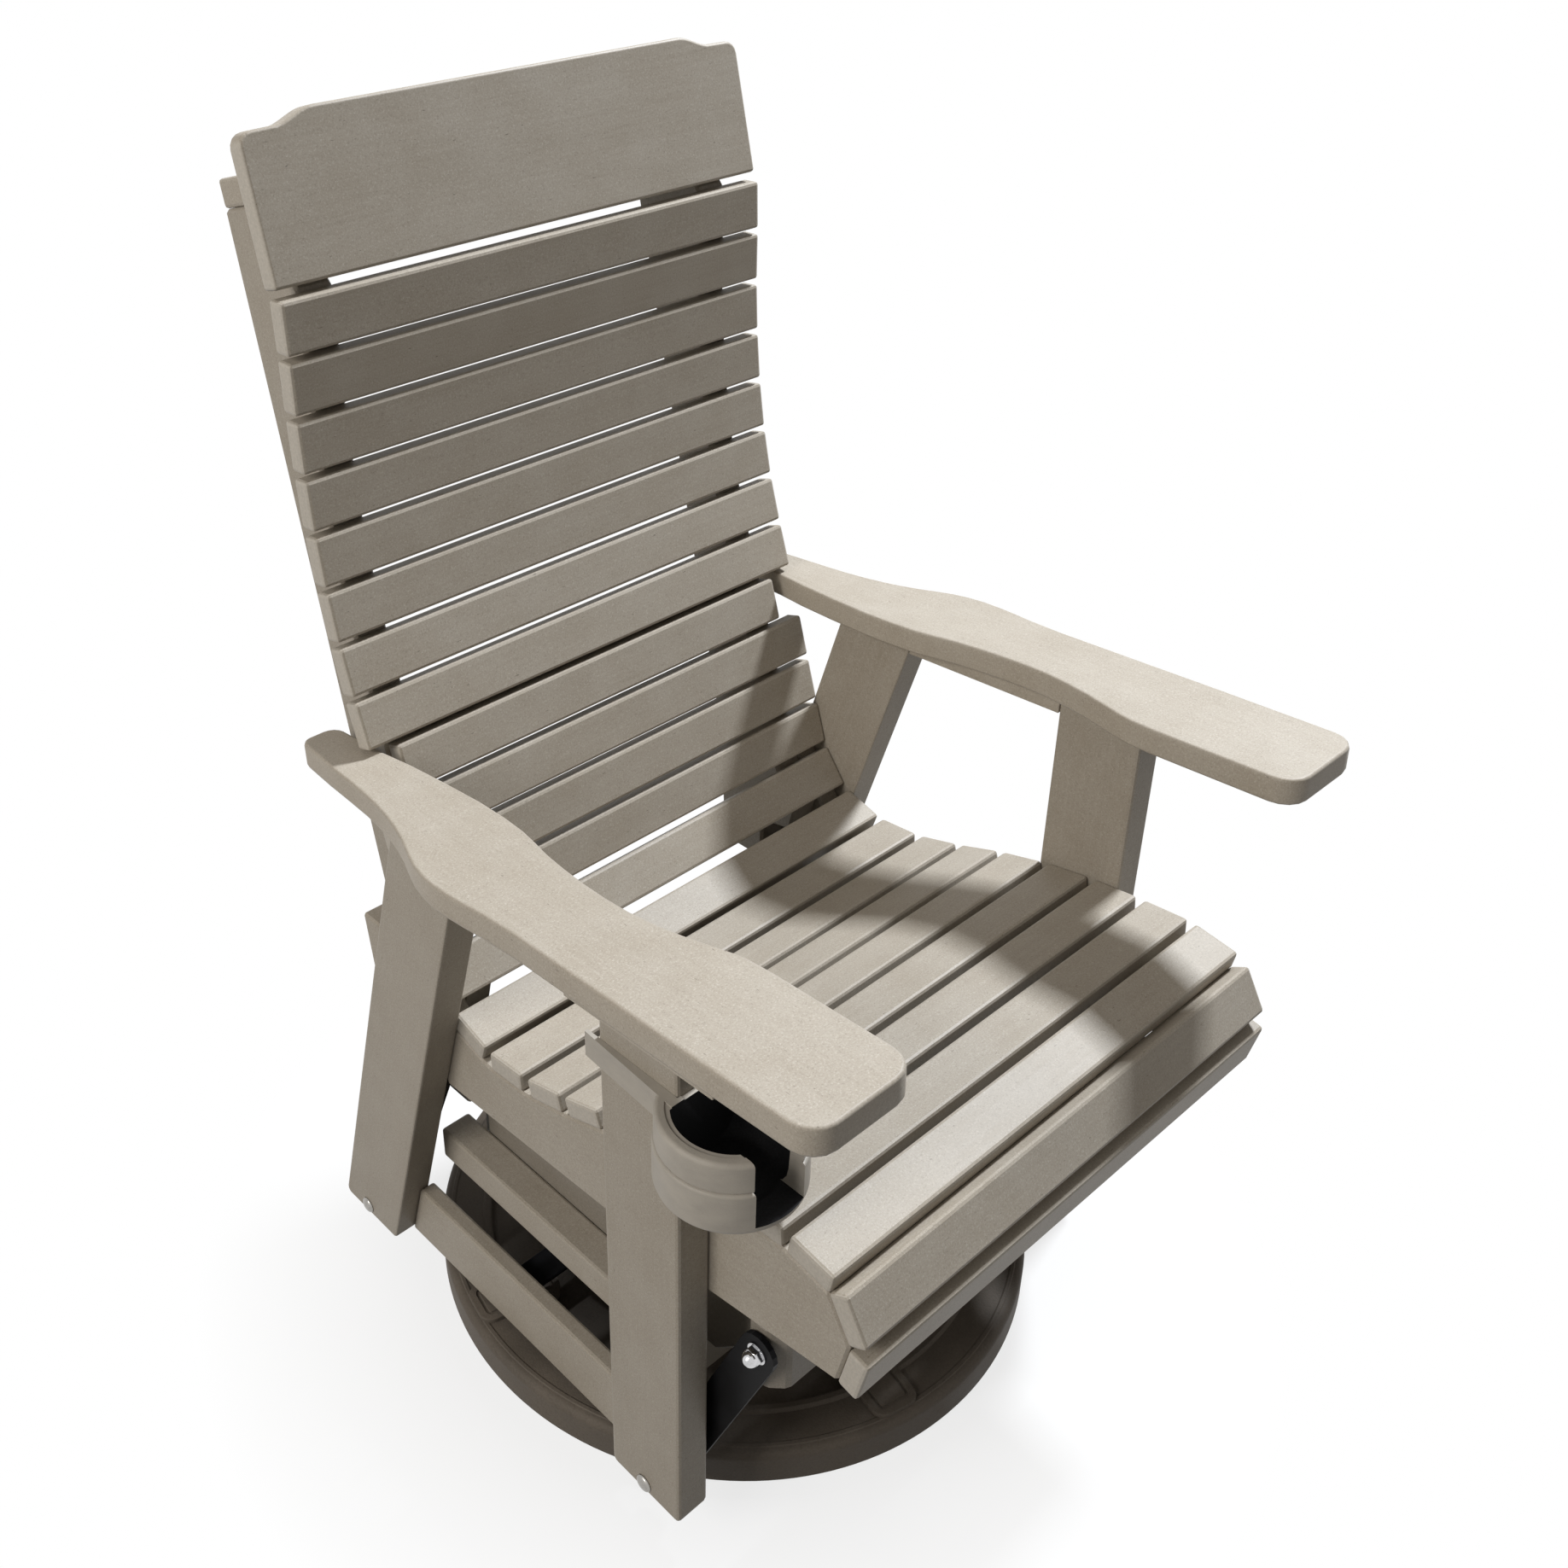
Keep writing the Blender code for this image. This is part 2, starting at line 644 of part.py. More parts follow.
def leg_outline(foot_y, lean):
    """A leg from its foot to the armrest's underside; lean in degrees towards the front."""
    half = LEG_WIDTH / 2 / math.cos(math.radians(lean))
    slope = math.tan(math.radians(lean))
    points = []
    for y in (foot_y - half, foot_y + half):
        points.append((y, LEG_BOTTOM_Z))
    for y in (foot_y + half, foot_y - half):
        low = (y, LEG_BOTTOM_Z)
        high = (y - slope * ARM_LENGTH, LEG_BOTTOM_Z + ARM_LENGTH)
        arm_line = ((ARM_FRONT_Y, arm_underside(ARM_FRONT_Y) - FIT),
                    (ARM_FRONT_Y + ARM_LENGTH, arm_underside(ARM_FRONT_Y + ARM_LENGTH) - FIT))
        points.append(meet(low, high, *arm_line))
    return rounded(points, [LEG_CORNER, LEG_CORNER, 0.0, 0.0])


def build_legs():
    for side, sign in SIDES:
        middle = sign * (LEG_INNER_X + LEG_OUTER_X) / 2
        for name, foot_y, lean, pivot_y in (("front", FRONT_LEG_Y, 0.0, PIVOT_FRONT_LOW_Y),
                                            ("rear", REAR_LEG_FOOT_Y, REAR_LEG_LEAN, PIVOT_REAR_LOW_Y)):
            leg = side_board(f"leg_{name}_{side}", [leg_outline(foot_y, lean)], middle, BOARD, LUMBER)
            hole = rod(f"hole_{name}_{side}", PIN_RADIUS + PIN_CLEARANCE / 2,
                       sign * (LEG_INNER_X - OVERRUN), sign * (LEG_OUTER_X + OVERRUN), pivot_y, PIVOT_LOW_Z)
            combine(leg, hole, "DIFFERENCE")


def rear_leg_front(z):
    """Y of the rear leg's front edge at a height."""
    half = LEG_WIDTH / 2 / math.cos(math.radians(REAR_LEG_LEAN))
    return REAR_LEG_FOOT_Y - half - (z - LEG_BOTTOM_Z) * math.tan(math.radians(REAR_LEG_LEAN))


def build_stretchers():
    front = FRONT_LEG_Y + LEG_WIDTH / 2 + FIT
    outline = [(front, LEG_BOTTOM_Z), (rear_leg_front(LEG_BOTTOM_Z) - FIT, LEG_BOTTOM_Z),
               (rear_leg_front(STRETCHER_TOP_Z) - FIT, STRETCHER_TOP_Z), (front, STRETCHER_TOP_Z)]
    for side, sign in SIDES:
        middle = sign * (STRETCHER_OUTER_X - STRETCHER_THICK / 2)
        side_board(f"stretcher_{side}", [outline], middle, STRETCHER_THICK, LUMBER)
    outer = STRETCHER_OUTER_X - STRETCHER_THICK - FIT
    inner = outer - STRAP_THICK
    under = STRAP_TOP_Z - STRAP_THICK
    tab = STRAP_TOP_Z - STRAP_TAB
    strap = [(-outer, tab), (-inner, tab), (-inner, under), (inner, under), (inner, tab), (outer, tab),
             (outer, STRAP_TOP_Z), (-outer, STRAP_TOP_Z)]
    plate("stretcher_tie", [strap], STRAP_WIDTH, BLACK_STEEL, (0.0, STRAP_Y, 0.0), (90.0, 0.0, 0.0),
          edge=STRAP_THICK / 5, segments=1)


def arm_outline(sign):
    """The armrest seen from above: a wide front, a swell and a narrow rear along the back."""
    outer = [(share_y * ARM_LENGTH, share_x * ARM_WIDTH) for share_y, share_x in ARM_OUTER_SHARES]
    inner = [(share_y * ARM_LENGTH, share_x * ARM_WIDTH) for share_y, share_x in ARM_INNER_SHARES]
    edge = smooth(outer) + smooth(inner)
    corners = {len(smooth(outer)) - 1: ARM_REAR_CORNER, len(smooth(outer)): ARM_REAR_CORNER,
               0: ARM_FRONT_CORNER, len(edge) - 1: ARM_FRONT_CORNER}
    points = [(sign * (ARM_INNER_X + across), along) for along, across in edge]
    return rounded(points, [corners.get(i, 0.0) for i in range(len(points))], 4)


def arm_batten(side, sign, sunk):
    """The batten under an armrest, between the tops of the front and the rear leg."""
    front_y = FRONT_LEG_Y + LEG_WIDTH / 2 + FIT
    low_z = arm_underside(0.0) - ARM_BATTEN_HEIGHT
    high_y = rear_leg_front(low_z + ARM_BATTEN_HEIGHT + sunk) - FIT
    low_y = rear_leg_front(low_z) - FIT
    outline = [(front_y, arm_underside(front_y) - ARM_BATTEN_HEIGHT),
               (low_y, arm_underside(low_y) - ARM_BATTEN_HEIGHT),
               (high_y, arm_underside(high_y) + sunk), (front_y, arm_underside(front_y) + sunk)]
    middle = sign * (LEG_INNER_X + LEG_OUTER_X) / 2
    batten = side_board(f"arm_batten_{side}", [outline], middle, BOARD, None, EDGE / 3, 1)
    move_to(batten, CUTTERS)
    return batten


def build_arms():
    """Armrests, each with the cleat that grips the front leg and the batten between the legs."""
    slope = math.radians(ARM_SLOPE)
    for side, sign in SIDES:
        drop = ARM_THICK / 2
        centre = (0.0, ARM_FRONT_Y - math.sin(slope) * drop, ARM_TOP_FRONT_Z - math.cos(slope) * drop)
        arm = plate(f"armrest_{side}", [arm_outline(sign)], ARM_THICK, LUMBER, centre,
                    (-ARM_SLOPE, 0.0, 0.0))
        sunk = ARM_THICK / 4
        outline = [(y, arm_underside(y) + rise) for y, rise in
                   ((CLEAT_FRONT_Y, -CLEAT_HEIGHT), (CLEAT_REAR_Y, -CLEAT_HEIGHT), (CLEAT_REAR_Y, sunk),
                    (CLEAT_FRONT_Y, sunk))]
        middle = sign * (LEG_OUTER_X + FIT + CLEAT_WIDTH / 2)
        cleat = side_board(f"arm_cleat_{side}", [outline], middle, CLEAT_WIDTH, None, EDGE / 3, 1)
        move_to(cleat, CUTTERS)
        combine(arm, cleat, "UNION")
        combine(arm, arm_batten(side, sign, sunk), "UNION")


def build_panels(slats):
    """Side panels: the top edge carries the seat slats and the roll, the underside is stepped."""
    row = [slats["slat_seat_01"]] + [slats[f"slat_seat_{n:02d}"] for n in range(2, 9)]
    row += [slats[f"slat_front_{n:02d}"] for n in range(1, 4)]
    line = support_line(row)
    rear = slats["slat_back_13"]
    behind = underside(rear)
    line[0] = meet(*underside(row[0]), *behind)
    climb = meet(*behind, (0.0, PANEL_TAIL_TOP_Z), (PANEL_TAIL_Y, PANEL_TAIL_TOP_Z))
    outline = [climb] + line
    outline += [(PANEL_STEP_FRONT_Y, PANEL_STEP_Z), (PANEL_LOW_FRONT_Y, PANEL_LOW_FRONT_Z),
                (PANEL_LOW_REAR_Y, PANEL_LOW_REAR_Z),
                (PANEL_LOW_REAR_Y + (PANEL_STEP_Z - PANEL_LOW_REAR_Z) / 4, PANEL_STEP_Z),
                (PANEL_TAIL_BOTTOM_Y - LEG_WIDTH / 3, PANEL_STEP_Z),
                (PANEL_TAIL_BOTTOM_Y, PANEL_TAIL_BOTTOM_Z), (PANEL_TAIL_Y, PANEL_TAIL_TOP_Z)]
    for side, sign in SIDES:
        middle = sign * (PANEL_INNER_X + PANEL_BOARD / 2)
        side_board(f"seat_panel_{side}", [outline], middle, PANEL_BOARD, LUMBER, EDGE, 1)


def pivots():
    """Each link pair's name, lower and upper pivot in Y and Z."""
    for name, low_y in (("front", PIVOT_FRONT_LOW_Y), ("rear", PIVOT_REAR_LOW_Y)):
        yield name, (low_y, PIVOT_LOW_Z), (low_y - PIVOT_LEAN, PIVOT_HIGH_Z)


def link_outline(low, high):
    """A flat bar with round ends about its two pivots."""
    angle = math.degrees(math.atan2(high[1] - low[1], high[0] - low[0]))
    return (arc(high, LINK_WIDTH / 2, angle - 90.0, angle + 90.0, 8)
            + arc(low, LINK_WIDTH / 2, angle + 90.0, angle + 270.0, 8))


def build_links():
    eye = PIN_RADIUS + PIN_CLEARANCE
    for name, low, high in pivots():
        low_eye = eye + (OPEN_PIVOT_CLEARANCE if name == "rear" else 0.0)
        for side, sign in SIDES:
            holes = [arc(low, low_eye, 0.0, 330.0, 11), arc(high, eye, 0.0, 330.0, 11)]
            side_board(f"link_{name}_{side}", [link_outline(low, high)] + holes,
                       sign * (LINK_OUTER_X - LINK_THICK / 2), LINK_THICK, BLACK_STEEL, 0.0)


def shaft(name, steps, place, finish):
    """A turned steel part along X: steps are radius and X, from its +X end to its -X end."""
    profile = [(radius, x) for radius, x in steps]
    piece = turned(name, profile, place, finish, 12)
    piece.rotation_euler = (0.0, math.radians(90.0), 0.0)
    return piece


def dome_steps(radius, base, height, outward):
    """A round head: radius and X from its tip down to its rim, or the other way inward."""
    steps = [(radius * math.cos(math.radians(a)), base + outward * height * math.sin(math.radians(a)))
             for a in range(90, -1, -30)]
    steps[0] = (0.0, base + outward * height)
    return steps if outward > 0 else steps[::-1]


def hex_nut(piece, name, x0, x1, y, z):
    """Joins a hexagon to a shaft."""
    combine(piece, rod(name, NUT_RADIUS, x0, x1, y, z, 6), "UNION")


def build_bolts():
    """Lower bolts ride with the chair; a rod through each base beam carries the links' upper ends."""
    nut_outer = LINK_INNER_X - FIT - WASHER_THICK
    head = LEG_OUTER_X + FIT
    for name, low, high in pivots():
        for side, sign in SIDES:
            tag = f"{name}_{side}"
            steps = dome_steps(HEAD_RADIUS, head, HEAD_HEIGHT, 1)
            steps += [(PIN_RADIUS, head), (PIN_RADIUS, LEG_INNER_X - FIT),
                      (WASHER_RADIUS, LEG_INNER_X - FIT), (WASHER_RADIUS, LINK_OUTER_X + FIT),
                      (PIN_RADIUS, LINK_OUTER_X + FIT),
                      (PIN_RADIUS, LINK_INNER_X - FIT), (WASHER_RADIUS, LINK_INNER_X - FIT),
                      (WASHER_RADIUS, nut_outer), (PIN_RADIUS, nut_outer),
                      (PIN_RADIUS, nut_outer - 1.3 * NUT_HEIGHT), (0.0, nut_outer - 1.3 * NUT_HEIGHT)]
            if sign < 0:
                steps = [(radius, -x) for radius, x in reversed(steps)]
            bolt = shaft(f"pivot_bolt_{tag}", steps, (0.0, *low), STAINLESS)
            hex_nut(bolt, f"lower_nut_{tag}", sign * (nut_outer - NUT_HEIGHT), sign * (nut_outer + FIT),
                    *low)
        beam_end = BEAM_HALF_LENGTH if name == "front" else BEAM_REAR_HALF_LENGTH
        collar = WASHER_RADIUS if name == "front" else BUSH_RADIUS
        nut_start = LINK_OUTER_X + FIT + WASHER_THICK
        nut_end = nut_start + NUT_HEIGHT
        if name == "front":
            steps = dome_steps(NUT_RADIUS * math.cos(math.radians(30.0)), nut_end, ACORN_HEIGHT, 1)
            steps += [(PIN_RADIUS, nut_end), (PIN_RADIUS, nut_start)]
        else:
            # A low head, since the rear leg passes close outside it
            head_end = LEG_INNER_X - 2 * FIT
            steps = [(0.0, head_end), (NUT_RADIUS - FIT, head_end), (NUT_RADIUS, head_end - FIT),
                     (NUT_RADIUS, nut_start)]
        steps += [(WASHER_RADIUS, nut_start),
                  (WASHER_RADIUS, LINK_OUTER_X + FIT), (PIN_RADIUS, LINK_OUTER_X + FIT),
                  (PIN_RADIUS, LINK_INNER_X - FIT), (collar, LINK_INNER_X - FIT), (collar, beam_end + FIT),
                  (PIN_RADIUS, beam_end + FIT)]
        steps += [(radius, -x) for radius, x in reversed(steps)]
        through = shaft(f"pivot_rod_{name}", steps, (0.0, *high), CHROME)
        if name == "front":
            for side, sign in SIDES:
                hex_nut(through, f"acorn_{side}", sign * (nut_start - FIT), sign * (nut_end + FIT), *high)


def build_base_frame():
    high_front = PIVOT_FRONT_LOW_Y - PIVOT_LEAN
    high_rear = PIVOT_REAR_LOW_Y - PIVOT_LEAN
    half = BEAM_DEPTH / 2
    height = BEAM_TOP_Z - BEAM_BOTTOM_Z
    middle_z = (BEAM_TOP_Z + BEAM_BOTTOM_Z) / 2
    front = [(-BEAM_HALF_LENGTH, half), (-BEAM_HALF_LENGTH, BEAM_CLIP - half),
             (BEAM_CLIP - BEAM_HALF_LENGTH, -half), (BEAM_HALF_LENGTH - BEAM_CLIP, -half),
             (BEAM_HALF_LENGTH, BEAM_CLIP - half), (BEAM_HALF_LENGTH, half)]
    rear = [(-BEAM_REAR_HALF_LENGTH, -half), (BEAM_REAR_HALF_LENGTH, -half), (BEAM_REAR_HALF_LENGTH, half),
            (-BEAM_REAR_HALF_LENGTH, half)]
    for name, outline, y, reach in (("front", front, high_front, BEAM_HALF_LENGTH),
                                    ("rear", rear, high_rear, BEAM_REAR_HALF_LENGTH)):
        place = (0.0, y, middle_z)
        beam = plate(f"base_beam_{name}", [outline], height, LUMBER_SHADE, place, segments=1)
        hole = rod(f"rod_hole_{name}", PIN_RADIUS + PIN_CLEARANCE / 2, -reach - OVERRUN,
                   reach + OVERRUN, y, PIVOT_HIGH_Z)
        combine(beam, hole, "DIFFERENCE")
    side_front = high_front + half + FIT
    side_rear = high_rear - half - FIT
    for side, sign in SIDES:
        block(f"base_rail_{side}", (BOARD, RAIL_REAR_Y - RAIL_FRONT_Y, RAIL_TOP_Z - RAIL_BOTTOM_Z),
              (sign * (RAIL_OUTER_X + RAIL_INNER_X) / 2, (RAIL_REAR_Y + RAIL_FRONT_Y) / 2,
               (RAIL_TOP_Z + RAIL_BOTTOM_Z) / 2), LUMBER_SHADE)
    # The cradle: two side boards glued and screwed to two risers that stand on the turntable
    middle = SIDE_INNER_X + SIDE_THICK / 2
    board = [(side_front, SIDE_TOP_Z), (side_front, SIDE_BOTTOM_Z + SIDE_CLIP),
             (side_front + SIDE_CLIP, SIDE_BOTTOM_Z), (side_rear, SIDE_BOTTOM_Z), (side_rear, SIDE_TOP_Z)]
    cradle = side_board("base_cradle", [board], -middle, SIDE_THICK, LUMBER_SHADE, segments=1)
    far = side_board("cradle_side", [board], middle, SIDE_THICK, None, segments=1)
    height = RISER_TOP_Z - RISER_BOTTOM_Z
    pieces = [far]
    for name, y in (("front", -RISER_Y), ("rear", RISER_Y)):
        pieces.append(block(f"riser_{name}", (2 * middle, RISER_DEPTH, height),
                            (0.0, y, (RISER_TOP_Z + RISER_BOTTOM_Z) / 2), None, edge=0.0))
    for piece in reversed(pieces):
        move_to(piece, CUTTERS)
        combine(cradle, piece, "UNION")


def build_disc():
    """The floor disc: rounded rim, raised ring, recess, centre boss and four radial pads."""
    rim = DISC_RIM_ROUND
    ring_in = DISC_RADIUS - DISC_RING_INSET
    ring_top = DISC_RIM_TOP_Z + DISC_RING_RISE / 2
    profile = [(0.0, DISC_BOSS_Z), (DISC_BOSS_RADIUS, DISC_BOSS_Z),
               (DISC_BOSS_RADIUS + DISC_BOSS_SLOPE, DISC_FLOOR_Z), (ring_in - EDGE, DISC_FLOOR_Z),
               (ring_in, DISC_RIM_TOP_Z), (ring_in + DISC_RING_WIDTH / 4, ring_top),
               (ring_in + DISC_RING_WIDTH * 3 / 4, ring_top),
               (ring_in + DISC_RING_WIDTH, DISC_RIM_TOP_Z - EDGE / 2)]
    profile += arc((DISC_RADIUS - rim, DISC_RIM_TOP_Z - EDGE / 2 - rim), rim, 90.0, 0.0, 3)
    profile += [(DISC_RADIUS, DISC_FOOT), (DISC_RADIUS - DISC_FOOT, 0.0), (0.0, 0.0)]
    disc = turned("floor_disc", profile, (0.0, 0.0, 0.0), DISC_PLASTIC, DISC_SEGMENTS)
    start = DISC_RADIUS - PAD_INSET - PAD_LENGTH
    outline = rounded([(0.0, -PAD_WIDTH / 2), (PAD_LENGTH, -PAD_WIDTH / 2), (PAD_LENGTH, PAD_WIDTH / 2),
                       (0.0, PAD_WIDTH / 2)], PAD_CORNER, 2)
    for i in range(PAD_COUNT):
        turn = PAD_TURN + 360.0 * i / PAD_COUNT
        angle = math.radians(turn)
        height = PAD_TOP_Z - DISC_FLOOR_Z / 2
        pad = plate(f"pad_{i + 1}", [outline], height, None,
                    (start * math.cos(angle), start * math.sin(angle), PAD_TOP_Z - height / 2), (0.0, 0.0, turn), EDGE / 2, 1, CUTTERS)
        combine(disc, pad, "UNION")
    hole_depth = KINGPIN_DEPTH + FIT
    wall = KINGPIN_RADIUS + FIT
    bore = turned("kingpin_hole", [(0.0, DISC_BOSS_Z + OVERRUN), (wall, DISC_BOSS_Z + OVERRUN),
                                   (wall, DISC_BOSS_Z - hole_depth), (0.0, DISC_BOSS_Z - hole_depth)],
                  (0.0, 0.0, 0.0), None, TURN_SEGMENTS, CUTTERS)
    combine(disc, bore, "DIFFERENCE")


def race_profile(radius, sign):
    """A turntable plate with its ball groove: sign 1 is the lower plate, groove on top."""
    grip = BALL_RADIUS + FIT
    face = PLATE_THICK
    lift = grip - RACE_DEPTH
    spread = math.degrees(math.acos(lift / grip))
    turns = [math.radians(a) for a in (-spread, -spread / 2, 0.0, spread / 2, spread)]
    groove = [(BALL_TRACK_RADIUS + grip * math.sin(a), face + lift - grip * math.cos(a)) for a in turns]
    top = [(PLATE_BORE, face)] + groove + [(radius, face)]
    profile = top + [(radius, 0.0), (PLATE_BORE, 0.0)]
    if sign < 0:
        profile = [(r, face - h) for r, h in reversed(profile)]
    return profile


def build_turntable():
    """Two grooved plates with caged balls between; the lower one's kingpin holds the upper one down."""
    head = PLATE_HIGH_Z + PLATE_THICK + FIT - PLATE_LOW_Z
    top = head + KINGPIN_HEAD
    ease = FIT * 4
    groove = race_profile(PLATE_LOW_RADIUS, 1)[1:-1]
    profile = [(0.0, top), (KINGPIN_HEAD_RADIUS - ease, top), (KINGPIN_HEAD_RADIUS, top - ease),
               (KINGPIN_HEAD_RADIUS, head), (KINGPIN_RADIUS, head), (KINGPIN_RADIUS, PLATE_THICK)] + groove
    profile += [(KINGPIN_RADIUS, 0.0), (KINGPIN_RADIUS, -KINGPIN_DEPTH), (0.0, -KINGPIN_DEPTH)]
    turned("swivel_plate_lower", profile, (0.0, 0.0, PLATE_LOW_Z), BLACK_STEEL, TURN_SEGMENTS)
    turned("swivel_plate_upper", race_profile(PLATE_HIGH_RADIUS, -1), (0.0, 0.0, PLATE_HIGH_Z),
           BLACK_STEEL, TURN_SEGMENTS)
    half = CAGE_WIDTH / 2
    cage = turned("swivel_ball_cage", [(BALL_TRACK_RADIUS - half, CAGE_THICK / 2),
                                       (BALL_TRACK_RADIUS + half, CAGE_THICK / 2),
                                       (BALL_TRACK_RADIUS + half, -CAGE_THICK / 2),
                                       (BALL_TRACK_RADIUS - half, -CAGE_THICK / 2)],
                  (0.0, 0.0, BALL_Z), STAINLESS, TURN_SEGMENTS)
    for i in range(BALL_COUNT):
        angle = 2 * math.pi * i / BALL_COUNT
        bpy.ops.mesh.primitive_uv_sphere_add(segments=8, ring_count=4, radius=BALL_RADIUS)
        ball = bpy.context.object
        ball.name = f"ball_{i + 1}"
        ball.location = (BALL_TRACK_RADIUS * math.cos(angle), BALL_TRACK_RADIUS * math.sin(angle), BALL_Z)
        move_to(ball, CUTTERS)
        combine(cage, ball, "UNION")


def build_cup_holder():
    """A moulded cup with two bands, notched round the leg's front corner, slotted in front."""
    low = CUP_RADIUS
    high = CUP_RADIUS - CUP_BAND_SWELL
    profile = [(0.0, CUP_TOP_Z), (high - CUP_ROUND, CUP_TOP_Z),
               (high - CUP_ROUND / 3, CUP_TOP_Z - CUP_ROUND / 3), (high, CUP_TOP_Z - CUP_ROUND),
               (high, CUP_GROOVE_Z + CUP_GROOVE), (high - CUP_GROOVE, CUP_GROOVE_Z),
               (low - CUP_ROUND / 3, CUP_GROOVE_Z - CUP_GROOVE / 2), (low, CUP_GROOVE_Z - CUP_ROUND),
               (low, CUP_BOTTOM_Z + 2 * CUP_ROUND), (low - CUP_ROUND / 2, CUP_BOTTOM_Z + CUP_ROUND / 2),
               (low - 2 * CUP_ROUND, CUP_BOTTOM_Z), (0.0, CUP_BOTTOM_Z)]
    cup = turned("cup_holder", profile, (CUP_X, CUP_Y, 0.0), MOULDED, CUP_SEGMENTS)
    leg_front = FRONT_LEG_Y - LEG_WIDTH / 2
    root_y = CUP_Y + CUP_RADIUS / 2
    wall = -(LEG_OUTER_X + FIT)
    flange = plate("flange", [[(wall + CUP_ROUND, FLANGE_TIP_Y), (wall - FLANGE_TIP_THICK, FLANGE_TIP_Y),
                               (wall - FLANGE_ROOT_THICK, CUP_Y + CUP_RADIUS * 0.87),
                               (wall - FLANGE_ROOT_THICK, root_y), (wall + CUP_ROUND, root_y)]],
                   FLANGE_HEIGHT, None, (0.0, 0.0, CUP_TOP_Z - FLANGE_HEIGHT / 2), edge=0.0,
                   collection=CUTTERS)
    combine(cup, flange, "UNION")
    deep = CUP_TOP_Z - CUP_BOTTOM_Z + 2 * OVERRUN
    middle_z = (CUP_TOP_Z + CUP_BOTTOM_Z) / 2
    reach = 3 * CUP_RADIUS
    notch = block("leg_notch", (reach, reach, deep),
                  (wall + reach / 2, leg_front - FIT + reach / 2, middle_z), None, edge=0.0)
    move_to(notch, CUTTERS)
    combine(cup, notch, "DIFFERENCE")
    back = leg_front - FIT - CUP_BACK_WALL - CUP_Y
    spread = math.degrees(math.asin(back / CUP_WELL_RADIUS))
    well = arc((0.0, 0.0), CUP_WELL_RADIUS, spread, -180.0 - spread, 30)
    floor_top = CUP_BOTTOM_Z + CUP_FLOOR
    well_height = CUP_TOP_Z + OVERRUN - floor_top
    cavity = plate("well", [well], well_height, None, (CUP_X, CUP_Y, floor_top + well_height / 2),
                   edge=0.0, collection=CUTTERS)
    combine(cup, cavity, "DIFFERENCE")
    slot = block("slot", (CUP_SLOT_RIGHT_X - CUP_SLOT_LEFT_X, 2 * CUP_RADIUS, well_height),
                 ((CUP_SLOT_RIGHT_X + CUP_SLOT_LEFT_X) / 2, CUP_Y - CUP_RADIUS,
                  floor_top + well_height / 2 + CUP_ROUND), None, edge=0.0)
    move_to(slot, CUTTERS)
    combine(cup, slot, "DIFFERENCE")


def carry_pieces():
    """Parents each moving body's pieces to an empty on its joint's axis."""
    low = (0.0, PIVOT_FRONT_LOW_Y, PIVOT_LOW_Z)
    names = [obj.name for obj in PARTS.objects if obj.type == "MESH"]
    chair = ("slat_", "crest", "back_post", "rail_back", "leg_", "stretcher", "armrest", "seat_panel",
             "cup", "pivot_bolt")
    frame = ("base_", "pivot_rod", "swivel_plate_upper")
    carry("axis_chair", low, [n for n in names if n.startswith(chair)])
    carry("axis_swivel", (0.0, 0.0, 0.0), [n for n in names if n.startswith(frame)])
    for name, _, high in pivots():
        carry(f"axis_links_{name}", (0.0, *high), [n for n in names if n.startswith(f"link_{name}")])


clear_scene()
PARTS = new_collection("swivel_glider")
CUTTERS = new_collection("cutters")
CUTTERS.hide_render = True


def main():
    slats = slat_chain()
    build_slats(slats)
    build_crest(slats)
    build_back_frame(slats)
    build_legs()
    build_stretchers()
    build_arms()
    build_panels(slats)
    build_base_frame()
    build_links()
    build_bolts()
    build_disc()
    build_turntable()
    build_cup_holder()
    carry_pieces()


main()
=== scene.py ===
"""Looks of the swivel glider: finishes for its boards, detailed mouldings and hardware, stage and camera.

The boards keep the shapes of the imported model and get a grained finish. The floor disc, cup holder,
armrests, crest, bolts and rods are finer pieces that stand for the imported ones.
"""

import json
import math

import bpy
from bpy.props import FloatProperty, FloatVectorProperty, IntProperty, PointerProperty
from mathutils import Matrix, Vector

